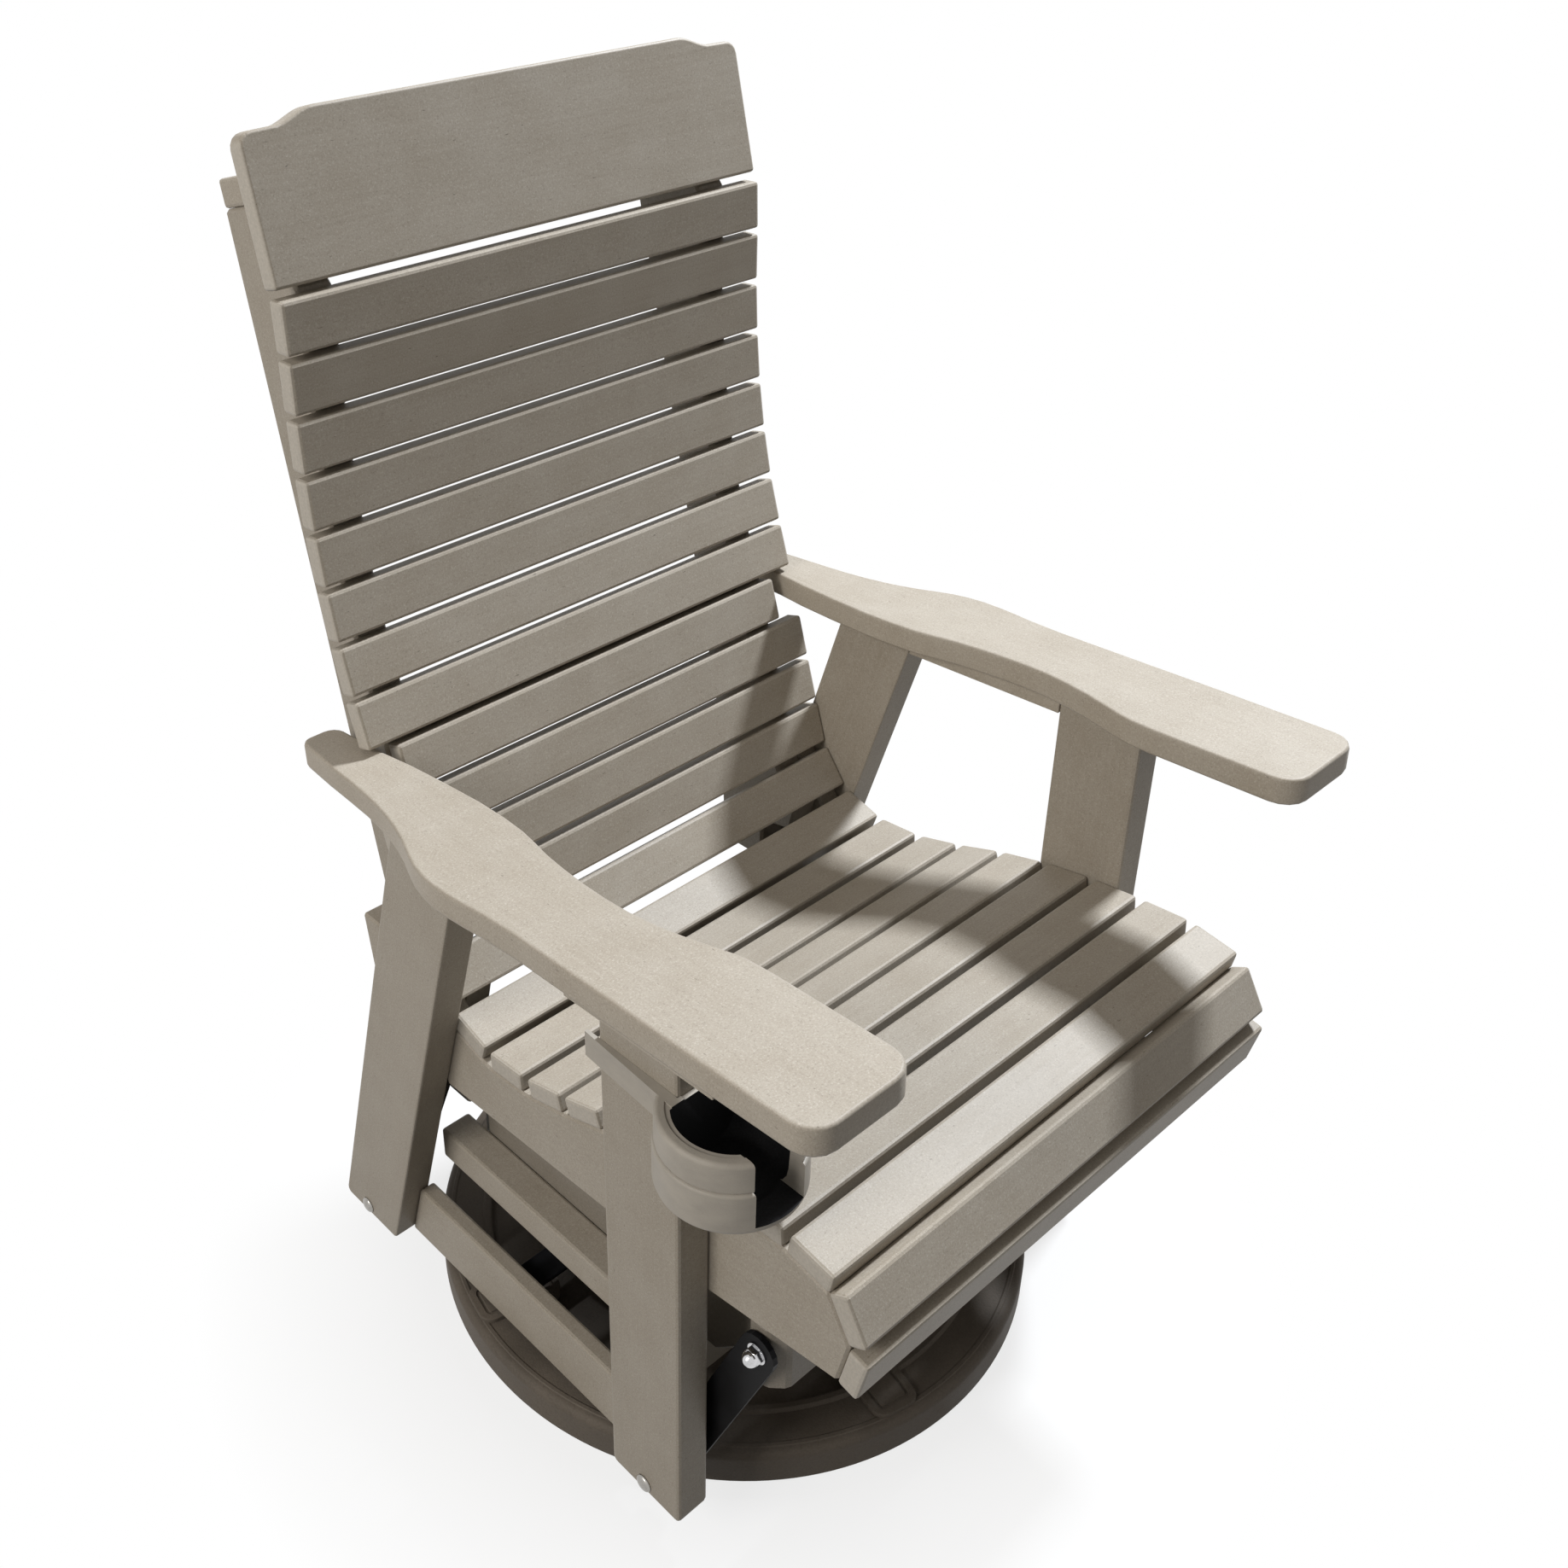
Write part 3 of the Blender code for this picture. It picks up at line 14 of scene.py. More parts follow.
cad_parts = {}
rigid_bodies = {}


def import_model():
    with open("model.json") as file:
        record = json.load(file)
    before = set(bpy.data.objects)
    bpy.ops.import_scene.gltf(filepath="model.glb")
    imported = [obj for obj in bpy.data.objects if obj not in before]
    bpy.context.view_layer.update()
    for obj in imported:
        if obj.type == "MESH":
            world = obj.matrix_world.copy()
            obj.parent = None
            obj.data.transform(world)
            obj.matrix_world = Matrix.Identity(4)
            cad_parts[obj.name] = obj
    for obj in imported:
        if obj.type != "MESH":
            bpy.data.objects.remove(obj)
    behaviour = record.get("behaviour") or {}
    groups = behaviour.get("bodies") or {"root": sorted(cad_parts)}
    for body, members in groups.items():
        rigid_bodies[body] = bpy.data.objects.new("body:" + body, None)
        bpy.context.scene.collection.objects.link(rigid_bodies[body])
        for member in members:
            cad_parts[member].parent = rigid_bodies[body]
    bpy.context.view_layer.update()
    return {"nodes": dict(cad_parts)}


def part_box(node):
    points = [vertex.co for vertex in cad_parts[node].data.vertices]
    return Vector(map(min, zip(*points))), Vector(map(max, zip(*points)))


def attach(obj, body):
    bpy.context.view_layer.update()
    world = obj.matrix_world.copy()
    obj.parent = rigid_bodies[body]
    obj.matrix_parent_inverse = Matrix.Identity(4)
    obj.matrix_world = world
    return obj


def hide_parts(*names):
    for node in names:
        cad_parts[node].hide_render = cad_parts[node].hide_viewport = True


bl_info = {
    "name": "Swivel glider looks",
    "version": (1, 0, 0),
    "blender": (4, 5, 0),
    "location": "3D View > Sidebar > Glider",
    "description": "Finishes and detailed pieces for a slatted swivel glider",
    "category": "Object",
}

# An empty scene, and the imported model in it
for leftover in list(bpy.data.objects):
    bpy.data.objects.remove(leftover)
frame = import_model()
NODES = frame["nodes"]

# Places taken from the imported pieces
LEG_INNER, LEG_OUTER = (corner.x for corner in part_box("leg_front_left"))
LEG_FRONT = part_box("leg_front_left")[0].y
LINK_INNER, LINK_OUTER = (corner.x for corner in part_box("link_front_left"))
SLAT_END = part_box("slat_seat_04")[1].x
SHORT_SLAT_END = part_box("slat_back_09")[1].x
DISC_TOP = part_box("floor_disc")[1].z
DISC_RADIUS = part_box("floor_disc")[1].x
CUP_LOW, CUP_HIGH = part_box("cup_holder")

# The seam between two pieces, the least step on one piece, how far a cutting block reaches past, and the
# radius of the flat face that closes the middle of a turned piece
FIT = 0.0003
HAIR = 0.0001
OVERRUN = 0.02
CENTRE = 0.01

# How close points are merged, on a new piece and on a copy of a packed one
MERGE = 0.000002
PACKED_MERGE = 0.000005

# The boards' patterns per metre along a board and across it, the rear legs' lean, and how far the pale
# colour of a sawn end reaches in; that colour is partly sawn end grain and partly painted light
STREAKS = (9.0, 260.0)
TONES = (0.9, 15.0)
FLECKS = (150.0, 600.0)
REAR_LEG_LEAN = math.radians(-16.6)
SAWN_DEPTH = 0.0022

# Outlines, as shares of a width and of a height
BEAD_SHARES = ((0.1786, 0.8), (0.7143, 1.0), (1.0, 0.0))
RING_SHARES = ((1.0, 0.0), (0.8980, 0.5), (0.7143, 1.0), (0.2245, 1.0), (0.0612, 0.7), (0.0, 0.0))
FILLET_SHARES = ((0.5333, 0.3333), (1.0, 0.0))
BOSS_SHARES = ((1.1667, 0.0), (1.0, 0.075), (0.1, 0.925), (-0.0833, 1.0))
CUP_FOOT_SHARES = ((1.0, 0.0), (0.5333, 0.1385), (0.2, 0.4615), (0.0, 1.0))
GROOVE_BELOW_SHARES = ((0.0, -1.875), (0.25, -0.875), (0.875, -0.375))
GROOVE_ABOVE_SHARES = ((1.0, 0.0), (1.0, 0.25), (0.25, 0.625), (0.0, 1.375))
WELL_SHARES = ((1.0, 0.0), (0.7143, 0.0526), (0.3929, 0.2368), (0.1571, 0.5789), (0.0571, 1.0))
FOOT_SHARE = 0.3
NUT_TIP_SHARE = 0.88
NUT_BODY_SHARE = 1.03
ACORN_SHARE = 0.86

# Rise and inset of the steps on a pad's top: rounded edge, border, dish and the low middle of the dish
PAD_STEPS = ((0.0007, 0.0003), (0.0003, 0.0009), (0.0, 0.0055), (-0.0018, 0.0006), (0.0, 0.0026),
             (0.0016, 0.0006))

# The photograph's view: its width, focal length and centre of view in pixels, and the camera's place
PHOTO_PIXELS = 1837.0
FOCAL_PIXELS = 1961.8
VIEW_CENTRE_PIXELS = (702.1, 791.6)
SENSOR_WIDTH = 36.0
CAMERA_PLACE = (-0.9047, -0.8826, 1.4036)
CAMERA_RIGHT = (0.7542, -0.6562, -0.0260)
CAMERA_UP = (0.3448, 0.3620, 0.8662)


class LumberSettings(bpy.types.PropertyGroup):
    """Colours and grain of the plastic lumber."""
    light: FloatVectorProperty(name="Light grain", description="Colour of the pale grain", subtype="COLOR",
                               size=4, default=(0.372, 0.330, 0.272, 1.0), min=0.0, max=1.0)
    dark: FloatVectorProperty(name="Dark grain", description="Colour of the dark grain", subtype="COLOR",
                              size=4, default=(0.318, 0.278, 0.222, 1.0), min=0.0, max=1.0)
    # The paler ends this gives are partly sawn end grain and partly painted light on the end faces
    sawn: FloatVectorProperty(name="Sawn ends", description="Colour of the sawn board ends",
                              subtype="COLOR", size=4, default=(0.46, 0.425, 0.37, 1.0), min=0.0, max=1.0)
    fleck: FloatVectorProperty(name="Flecks", description="Colour of the fine dark flecks",
                               subtype="COLOR", size=4, default=(0.135, 0.115, 0.092, 1.0), min=0.0, max=1.0)
    roughness: FloatProperty(name="Roughness", description="Mean roughness of a board's face",
                             subtype="FACTOR", default=0.50, min=0.0, max=1.0)
    relief: FloatProperty(name="Relief", description="Depth of the grain", unit="LENGTH",
                          default=0.00022, min=0.0, max=0.002)


class MouldingSettings(bpy.types.PropertyGroup):
    """Colours of the moulded plastic pieces."""
    cup: FloatVectorProperty(name="Cup holder", description="Colour of the cup holder", subtype="COLOR",
                             size=4, default=(0.365, 0.335, 0.290, 1.0), min=0.0, max=1.0)
    disc: FloatVectorProperty(name="Floor disc", description="Colour of the floor disc", subtype="COLOR",
                              size=4, default=(0.120, 0.102, 0.083, 1.0), min=0.0, max=1.0)
    pebble: FloatProperty(name="Pebble size", description="Width of one pebble of the disc's surface",
                          unit="LENGTH", default=0.0021, min=0.0005, max=0.01)


class SteelSettings(bpy.types.PropertyGroup):
    """Colours of the metal pieces."""
    coat: FloatVectorProperty(name="Black coat", description="Colour of the coated steel", subtype="COLOR",
                              size=4, default=(0.0060, 0.0060, 0.0065, 1.0), min=0.0, max=1.0)
    stainless: FloatVectorProperty(name="Stainless", description="Colour of the stainless steel",
                                   subtype="COLOR", size=4, default=(0.37, 0.355, 0.33, 1.0),
                                   min=0.0, max=1.0)
    chrome: FloatVectorProperty(name="Chrome", description="Colour of the acorn nuts", subtype="COLOR",
                                size=4, default=(0.60, 0.60, 0.61, 1.0), min=0.0, max=1.0)


class DiscSettings(bpy.types.PropertyGroup):
    """Sizes of the floor disc."""
    segments: IntProperty(name="Segments", description="Faces round the disc", default=160, min=24, max=256)
    rim_top: FloatProperty(name="Rim height", description="Height of the outer rim's top", unit="LENGTH",
                           default=0.0400, min=0.02, max=0.06)
    foot: FloatProperty(name="Foot edge", description="Width of the edge round the underside",
                        unit="LENGTH", default=0.003, min=0.001, max=0.01)
    rim_round: FloatProperty(name="Rim rounding", description="Radius of the rim's outer edge",
                             unit="LENGTH", default=0.008, min=0.002, max=0.02)
    rim_drop: FloatProperty(name="Rim drop", description="How far the rim's face lies under its height",
                            unit="LENGTH", default=0.0015, min=0.0, max=0.005)
    bead_width: FloatProperty(name="Bead width", description="Width of the bead on the rim", unit="LENGTH",
                              default=0.0056, min=0.001, max=0.01)
    bead_rise: FloatProperty(name="Bead rise", description="Rise of the bead over the rim's face",
                             unit="LENGTH", default=0.001, min=0.0, max=0.004)
    recess: FloatProperty(name="Recess height", description="Height of the recess between ring and boss",
                          unit="LENGTH", default=0.030, min=0.01, max=0.05)
    ring: FloatProperty(name="Ring radius", description="Inner radius of the raised ring", unit="LENGTH",
                        default=0.252, min=0.1, max=0.29)
    ring_width: FloatProperty(name="Ring width", description="Width of the raised ring", unit="LENGTH",
                              default=0.0098, min=0.004, max=0.02)
    ring_rise: FloatProperty(name="Ring rise", description="Rise of the ring over the rim's face",
                             unit="LENGTH", default=0.003, min=0.0, max=0.01)
    fillet: FloatProperty(name="Fillet", description="Size of the fillet inside the ring", unit="LENGTH",
                          default=0.0045, min=0.001, max=0.008)
    boss: FloatProperty(name="Boss radius", description="Radius of the centre boss", unit="LENGTH",
                        default=0.135, min=0.05, max=0.2)
    boss_slope: FloatProperty(name="Boss slope", description="Width of the slope round the boss",
                              unit="LENGTH", default=0.012, min=0.002, max=0.03)
    pad_width: FloatProperty(name="Pad width", description="Width of a radial pad", unit="LENGTH",
                             default=0.048, min=0.01, max=0.1)
    pad_inner: FloatProperty(name="Pad start", description="Radius at which a pad starts", unit="LENGTH",
                             default=0.209, min=0.1, max=0.28)
    pad_outer: FloatProperty(name="Pad end", description="Radius at which a pad ends", unit="LENGTH",
                             default=0.296, min=0.2, max=0.298)
    pad_top: FloatProperty(name="Pad height", description="Height of the pads' tops", unit="LENGTH",
                           default=0.0435, min=0.02, max=0.06)
    pad_corner: FloatProperty(name="Pad corner", description="Radius of the pads' corners", unit="LENGTH",
                              default=0.013, min=0.002, max=0.02)
    pad_sink: FloatProperty(name="Pad sink", description="How deep a pad sits in the recess's floor",
                            unit="LENGTH", default=0.008, min=0.001, max=0.02)
    pad_turn: FloatProperty(name="Pad turn", description="Turn of the first pad from the left side",
                            unit="ROTATION", default=math.radians(-13.0))


class CupSettings(bpy.types.PropertyGroup):
    """Sizes of the cup holder."""
    centre_x: FloatProperty(name="Centre X", description="Place of the cup's axis across the chair",
                            unit="LENGTH", default=-0.277)
    centre_y: FloatProperty(name="Centre Y", description="Place of the cup's axis along the chair",
                            unit="LENGTH", default=-0.270)
    radius: FloatProperty(name="Radius", description="Outer radius of the lower band", unit="LENGTH",
                          default=0.0575, min=0.03, max=0.08)
    well: FloatProperty(name="Well radius", description="Inner radius of the cup", unit="LENGTH",
                        default=0.044, min=0.02, max=0.07)
    groove: FloatProperty(name="Groove height", description="Height of the line between the two bands",
                          unit="LENGTH", default=0.5175)
    groove_depth: FloatProperty(name="Groove depth", description="Depth of that line", unit="LENGTH",
                                default=0.0016, min=0.0, max=0.004)
    band_step: FloatProperty(name="Band step", description="How far the upper band stands back",
                             unit="LENGTH", default=0.0015, min=0.0, max=0.004)
    foot_width: FloatProperty(name="Foot width", description="Width of the rounding under the cup",
                              unit="LENGTH", default=0.006, min=0.001, max=0.02)
    foot_height: FloatProperty(name="Foot height", description="Height of the rounding under the cup",
                               unit="LENGTH", default=0.0065, min=0.001, max=0.02)
    rim_round: FloatProperty(name="Rim rounding", description="Radius of the rim's outer edge",
                             unit="LENGTH", default=0.004, min=0.001, max=0.006)
    lip_width: FloatProperty(name="Lip width", description="Width of the low step round the well",
                             unit="LENGTH", default=0.0034, min=0.001, max=0.006)
    lip_slope: FloatProperty(name="Lip slope", description="Width of the slope down to that step",
                             unit="LENGTH", default=0.0008, min=0.0, max=0.003)
    lip_drop: FloatProperty(name="Lip drop", description="Drop of that step under the rim", unit="LENGTH",
                            default=0.0011, min=0.0, max=0.004)
    floor: FloatProperty(name="Floor", description="Thickness of the cup's floor", unit="LENGTH",
                         default=0.005, min=0.001, max=0.02)
    well_round: FloatProperty(name="Well rounding", description="Width of the rounding in the well's foot",
                              unit="LENGTH", default=0.014, min=0.001, max=0.03)
    well_rise: FloatProperty(name="Well rise", description="Height of the rounding in the well's foot",
                             unit="LENGTH", default=0.019, min=0.001, max=0.03)
    # Painted shade: depth under the rim at which the well's near-black finish starts
    painted_shade_depth: FloatProperty(name="Lining", description="Depth at which the dark lining starts",
                          unit="LENGTH", default=0.014, min=0.0, max=0.06)
    back_wall: FloatProperty(name="Back wall", description="Wall between the well and the leg",
                             unit="LENGTH", default=0.004, min=0.001, max=0.01)
    flange_height: FloatProperty(name="Flange height", description="Height of the flange on the leg",
                                 unit="LENGTH", default=0.024, min=0.01, max=0.06)
    flange_root: FloatProperty(name="Flange root", description="Thickness of the flange at the cup",
                               unit="LENGTH", default=0.011, min=0.002, max=0.02)
    flange_tip: FloatProperty(name="Flange tip", description="Thickness of the flange at its end",
                              unit="LENGTH", default=0.003, min=0.001, max=0.02)
    edge: FloatProperty(name="Edge rounding", description="Width of the rounded edges", unit="LENGTH",
                        default=0.0011, min=0.0, max=0.003)
    sill: FloatProperty(name="Sill", description="Height of the slot's sill over the cup's floor",
                        unit="LENGTH", default=0.003, min=0.0, max=0.03)
    slot_from: FloatProperty(name="Slot from", description="Outer side of the slot", unit="LENGTH",
                             default=-0.3035)
    slot_to: FloatProperty(name="Slot to", description="Inner side of the slot", unit="LENGTH",
                           default=-0.2580)


class BoltSettings(bpy.types.PropertyGroup):
    """Sizes of the pivots' hardware."""
    pin: FloatProperty(name="Pin radius", description="Radius of bolts and rods", unit="LENGTH",
                       default=0.005, min=0.003, max=0.008)
    head: FloatProperty(name="Head radius", description="Radius of the round heads", unit="LENGTH",
                        default=0.0085, min=0.005, max=0.012)
    washer: FloatProperty(name="Washer radius", description="Radius of the washers", unit="LENGTH",
                          default=0.0095, min=0.006, max=0.015)
    washer_thick: FloatProperty(name="Washer thickness", description="Thickness of the washers",
                                unit="LENGTH", default=0.0012, min=0.0005, max=0.003)
    bush: FloatProperty(name="Bush radius", description="Radius of the rear rod's bushes", unit="LENGTH",
                        default=0.012, min=0.006, max=0.02)
    head_rim: FloatProperty(name="Head rim", description="Height of the rim under a round head",
                            unit="LENGTH", default=0.0005, min=0.0, max=0.002)
    nut: FloatProperty(name="Nut radius", description="Radius over a nut's corners", unit="LENGTH",
                       default=0.0085, min=0.006, max=0.012)
    nut_height: FloatProperty(name="Nut height", description="Height of a nut's hexagon", unit="LENGTH",
                              default=0.006, min=0.003, max=0.012)
    nut_chamfer: FloatProperty(name="Nut chamfer", description="Height of a nut's turned chamfer",
                               unit="LENGTH", default=0.0012, min=0.0002, max=0.002)
    edge: FloatProperty(name="Edge", description="Chamfer of a flat nut's rim", unit="LENGTH",
                        default=0.0006, min=0.0, max=0.002)


class StageSettings(bpy.types.PropertyGroup):
    """Light, floor and backdrop."""
    world: FloatProperty(name="Sky", description="Strength of the even light from all sides",
                         default=0.23, min=0.0, max=2.0)
    key: FloatProperty(name="Key lamp", description="Power of the small high lamp on the left", unit="POWER",
                       default=345.0, min=0.0, max=1000.0)
    side: FloatProperty(name="Side lamp", description="Power of the high lamp on the right", unit="POWER",
                        default=82.0, min=0.0, max=500.0)
    fill: FloatProperty(name="Fill lamp", description="Power of the low lamp on the right", unit="POWER",
                        default=7.0, min=0.0, max=500.0)
    floor: FloatProperty(name="Floor size", description="Length of the floor's sides", unit="LENGTH",
                         default=40.0, min=5.0, max=100.0)
    fade_from: FloatProperty(name="Fade from", description="Radius where the floor's shadow starts to fade",
                             unit="LENGTH", default=0.32, min=0.0, max=5.0)
    fade_to: FloatProperty(name="Fade to", description="Radius where the floor's shadow has faded out",
                           unit="LENGTH", default=0.56, min=0.0, max=5.0)
    fade_least: FloatProperty(name="Least fade", description="Share of white over the shadow at its darkest",
                              subtype="FACTOR", default=0.77, min=0.0, max=1.0)


def settings(name):
    """One of the scene's groups of values."""
    return getattr(bpy.context.scene, "glider_" + name)


# Finishes

def finish_start(name):
    """A new material with its node tree and shader."""
    material = bpy.data.materials.new(name)
    material.use_nodes = True
    tree = material.node_tree
    return material, tree, tree.nodes["Principled BSDF"]


def add(tree, kind, **links):
    """A new node whose named sockets are linked to other nodes' outputs."""
    made = tree.nodes.new(kind)
    for socket, source in links.items():
        tree.links.new(source, made.inputs[socket])
    return made


def placed(tree, scale, turn=0.0):
    """Object coordinates, turned about X and scaled."""
    where = tree.nodes.new("ShaderNodeTexCoord")
    turned = add(tree, "ShaderNodeMapping", Vector=where.outputs["Object"])
    turned.inputs["Rotation"].default_value = (turn, 0.0, 0.0)
    stretched = add(tree, "ShaderNodeMapping", Vector=turned.outputs["Vector"])
    stretched.inputs["Scale"].default_value = scale
    return stretched.outputs["Vector"]


def noise(tree, vector, detail, roughness):
    """A noise texture at a scale of one."""
    made = add(tree, "ShaderNodeTexNoise", Vector=vector)
    made.inputs["Scale"].default_value = 1.0
    made.inputs["Detail"].default_value = detail
    made.inputs["Roughness"].default_value = roughness
    return made.outputs["Fac"]


def grained(tree, along, per_metre, detail, roughness=0.55, lean=0.0):
    """Noise drawn out along one axis: patterns per metre along the board and across it."""
    scale = [per_metre[0] if axis == along else per_metre[1] for axis in range(3)]
    return noise(tree, placed(tree, scale, lean), detail, roughness)


def grain(tree, per_metre, detail, roughness=0.55):
    """Noise that is as fine along every axis."""
    return noise(tree, placed(tree, (per_metre, per_metre, per_metre)), detail, roughness)


def spread(tree, value, low, high, to_low=0.0, to_high=1.0):
    """Maps a value's range to another, held within it."""
    made = add(tree, "ShaderNodeMapRange", Value=value)
    for socket, number in (("From Min", low), ("From Max", high), ("To Min", to_low), ("To Max", to_high)):
        made.inputs[socket].default_value = number
    return made.outputs["Result"]


def blended(tree, factor, first, second, mode="MIX"):
    """Two colours mixed; each is a colour or another node's output.

    The node has sockets for every data type: 6, 7 and output 2 are those for colours.
    """
    made = tree.nodes.new("ShaderNodeMix")
    made.data_type = "RGBA"
    made.blend_type = mode
    for socket, value in ((made.inputs[0], factor), (made.inputs[6], first), (made.inputs[7], second)):
        if isinstance(value, bpy.types.NodeSocket):
            tree.links.new(value, socket)
        else:
            socket.default_value = value
    return made.outputs[2]


def maths(tree, operation, first, second=0.0):
    """One step of arithmetic; each value is a number or another node's output."""
    made = tree.nodes.new("ShaderNodeMath")
    made.operation = operation
    for socket, value in zip(made.inputs, (first, second)):
        if isinstance(value, bpy.types.NodeSocket):
            tree.links.new(value, socket)
        else:
            socket.default_value = value
    return made.outputs[0]


def relief(tree, shader, height, distance, strength):
    """A bump on a shader's surface."""
    bump = add(tree, "ShaderNodeBump", Height=height)
    bump.inputs["Distance"].default_value = distance
    bump.inputs["Strength"].default_value = strength
    tree.links.new(bump.outputs["Normal"], shader.inputs["Normal"])


def shaded(colour, share):
    """A colour made darker or lighter by a share."""
    return (colour[0] * share, colour[1] * share, colour[2] * share, 1.0)


def lumber(name, along, lean=0.0, end_at=None, share=1.0):
    """Plastic lumber with streaks and flecks along one axis; paler ends are sawn grain and painted light."""
    look = settings("lumber")
    material, tree, shader = finish_start(name)
    streaks = grained(tree, along, STREAKS, 4.0, 0.62, lean)
    tones = grained(tree, along, TONES, 1.0, lean=lean)
    flecks = grained(tree, along, FLECKS, 1.0, lean=lean)
    grit = grain(tree, per_metre=640.0, detail=3.0, roughness=0.8)
    patches = grain(tree, per_metre=21.0, detail=3.0)
    mixed = maths(tree, "ADD", maths(tree, "MULTIPLY", streaks, 0.60), maths(tree, "MULTIPLY", tones, 0.40))
    # A share under one is painted shade and a share over one painted light: a darker or lighter copy of the
    # same lumber
    base = blended(tree, spread(tree, mixed, 0.28, 0.72), shaded(look.dark, share),
                   shaded(look.light, share))
    base = blended(tree, spread(tree, patches, 0.35, 0.75, 0.0, 0.28), base, shaded(look.sawn, share))
    base = blended(tree, spread(tree, flecks, 0.73, 0.81, 0.0, 0.70), base, shaded(look.fleck, share))
    base = blended(tree, spread(tree, grit, 0.55, 0.72, 0.0, 0.60), base, shaded(look.sawn, 1.25 * share))
    base = blended(tree, spread(tree, grit, 0.45, 0.28, 0.0, 0.50), base, shaded(look.fleck, share))
    # The paler ends: partly sawn end grain, partly painted light on the end faces
    if end_at:
        where = tree.nodes.new("ShaderNodeTexCoord")
        split = add(tree, "ShaderNodeSeparateXYZ", Vector=where.outputs["Object"])
        reach = maths(tree, "ABSOLUTE", split.outputs["X"])
        sawn = spread(tree, reach, end_at - SAWN_DEPTH, end_at - 4 * HAIR, 0.0, 0.85)
        saw_marks = grain(tree, per_metre=420.0, detail=3.0)
        sawn_and_lit_end = blended(tree, spread(tree, saw_marks, 0.3, 0.7), shaded(look.sawn, 0.90 * share),
                            shaded(look.sawn, 1.10 * share))
        base = blended(tree, sawn, base, sawn_and_lit_end)
    tree.links.new(base, shader.inputs["Base Color"])
    sheen = spread(tree, streaks, 0.3, 0.7, look.roughness - 0.02, look.roughness + 0.03)
    tree.links.new(sheen, shader.inputs["Roughness"])
    shader.inputs["Specular IOR Level"].default_value = 0.28
    height = maths(tree, "ADD", maths(tree, "MULTIPLY", streaks, 0.55), maths(tree, "MULTIPLY", grit, 0.45))
    relief(tree, shader, height, look.relief, 0.55)
    return material


def cup_plastic():
    """Smooth moulded plastic with a fine grain and faint flow clouds."""
    look = settings("moulding")
    material, tree, shader = finish_start("moulded_cup")
    clouds = grained(tree, 2, (60.0, 34.0), 3.0)
    grit = grain(tree, per_metre=1300.0, detail=2.0)
    base = blended(tree, spread(tree, clouds, 0.3, 0.7), shaded(look.cup, 0.90), shaded(look.cup, 1.10))
    base = blended(tree, spread(tree, grit, 0.60, 0.78, 0.0, 0.35), base, shaded(look.cup, 1.40))
    base = blended(tree, spread(tree, grit, 0.38, 0.24, 0.0, 0.35), base, shaded(look.cup, 0.60))
    tree.links.new(base, shader.inputs["Base Color"])
    tree.links.new(spread(tree, clouds, 0.3, 0.7, 0.46, 0.56), shader.inputs["Roughness"])
    shader.inputs["Specular IOR Level"].default_value = 0.30
    relief(tree, shader, grit, 0.00016, 0.45)
    return material


def well_painted_shade():
    """Painted shade: a near-black finish for the inside of the cup's well, which lies in deep shade."""
    material, tree, shader = finish_start("well_painted_shade")
    grit = grain(tree, per_metre=700.0, detail=2.0)
    coat = settings("steel").coat
    base = blended(tree, spread(tree, grit, 0.35, 0.7), shaded(coat, 0.8), shaded(coat, 2.2))
    tree.links.new(base, shader.inputs["Base Color"])
    tree.links.new(spread(tree, grit, 0.3, 0.7, 0.62, 0.74), shader.inputs["Roughness"])
    shader.inputs["Specular IOR Level"].default_value = 0.15
    relief(tree, shader, grit, 0.0002, 0.4)
    return material


def disc_plastic():
    """Pebbled moulded plastic with dusty mottling."""
    look = settings("moulding")
    material, tree, shader = finish_start("moulded_disc")
    per_metre = 1.0 / look.pebble
    pebbles = add(tree, "ShaderNodeTexVoronoi", Vector=placed(tree, (per_metre, per_metre, per_metre)))
    pebbles.feature = "SMOOTH_F1"
    pebbles.inputs["Smoothness"].default_value = 0.6
    pebbles.inputs["Scale"].default_value = 1.0
    hollow = pebbles.outputs["Distance"]
    dust = grain(tree, per_metre=16.0, detail=5.0, roughness=0.6)
    grit = grain(tree, per_metre=900.0, detail=2.0)
    base = blended(tree, spread(tree, dust, 0.34, 0.68), shaded(look.disc, 0.84), shaded(look.disc, 1.16))
    base = blended(tree, spread(tree, grit, 0.60, 0.76, 0.0, 0.40), base, shaded(look.disc, 1.55))
    # Painted shade: the pebbles' hollows are made darker
    base = blended(tree, spread(tree, hollow, 0.45, 0.85, 0.0, 0.30), base, shaded(look.disc, 0.62))
    tree.links.new(base, shader.inputs["Base Color"])
    tree.links.new(spread(tree, dust, 0.3, 0.7, 0.52, 0.68), shader.inputs["Roughness"])
    shader.inputs["Specular IOR Level"].default_value = 0.15
    height = maths(tree, "ADD", maths(tree, "MULTIPLY", hollow, -0.8), grit)
    relief(tree, shader, height, 0.00030, 0.5)
    return material


def black_coat():
    """Satin powder coat on steel, with a fine orange-peel surface."""
    look = settings("steel")
    material, tree, shader = finish_start("black_coat")
    peel = grain(tree, per_metre=420.0, detail=2.0)
    scuff = grain(tree, per_metre=26.0, detail=4.0)
    base = blended(tree, spread(tree, scuff, 0.45, 0.8, 0.0, 0.7), look.coat, shaded(look.coat, 2.6))
    tree.links.new(base, shader.inputs["Base Color"])
    tree.links.new(spread(tree, scuff, 0.3, 0.7, 0.30, 0.46), shader.inputs["Roughness"])
    shader.inputs["Specular IOR Level"].default_value = 0.06
    relief(tree, shader, peel, 0.00012, 0.35)
    return material


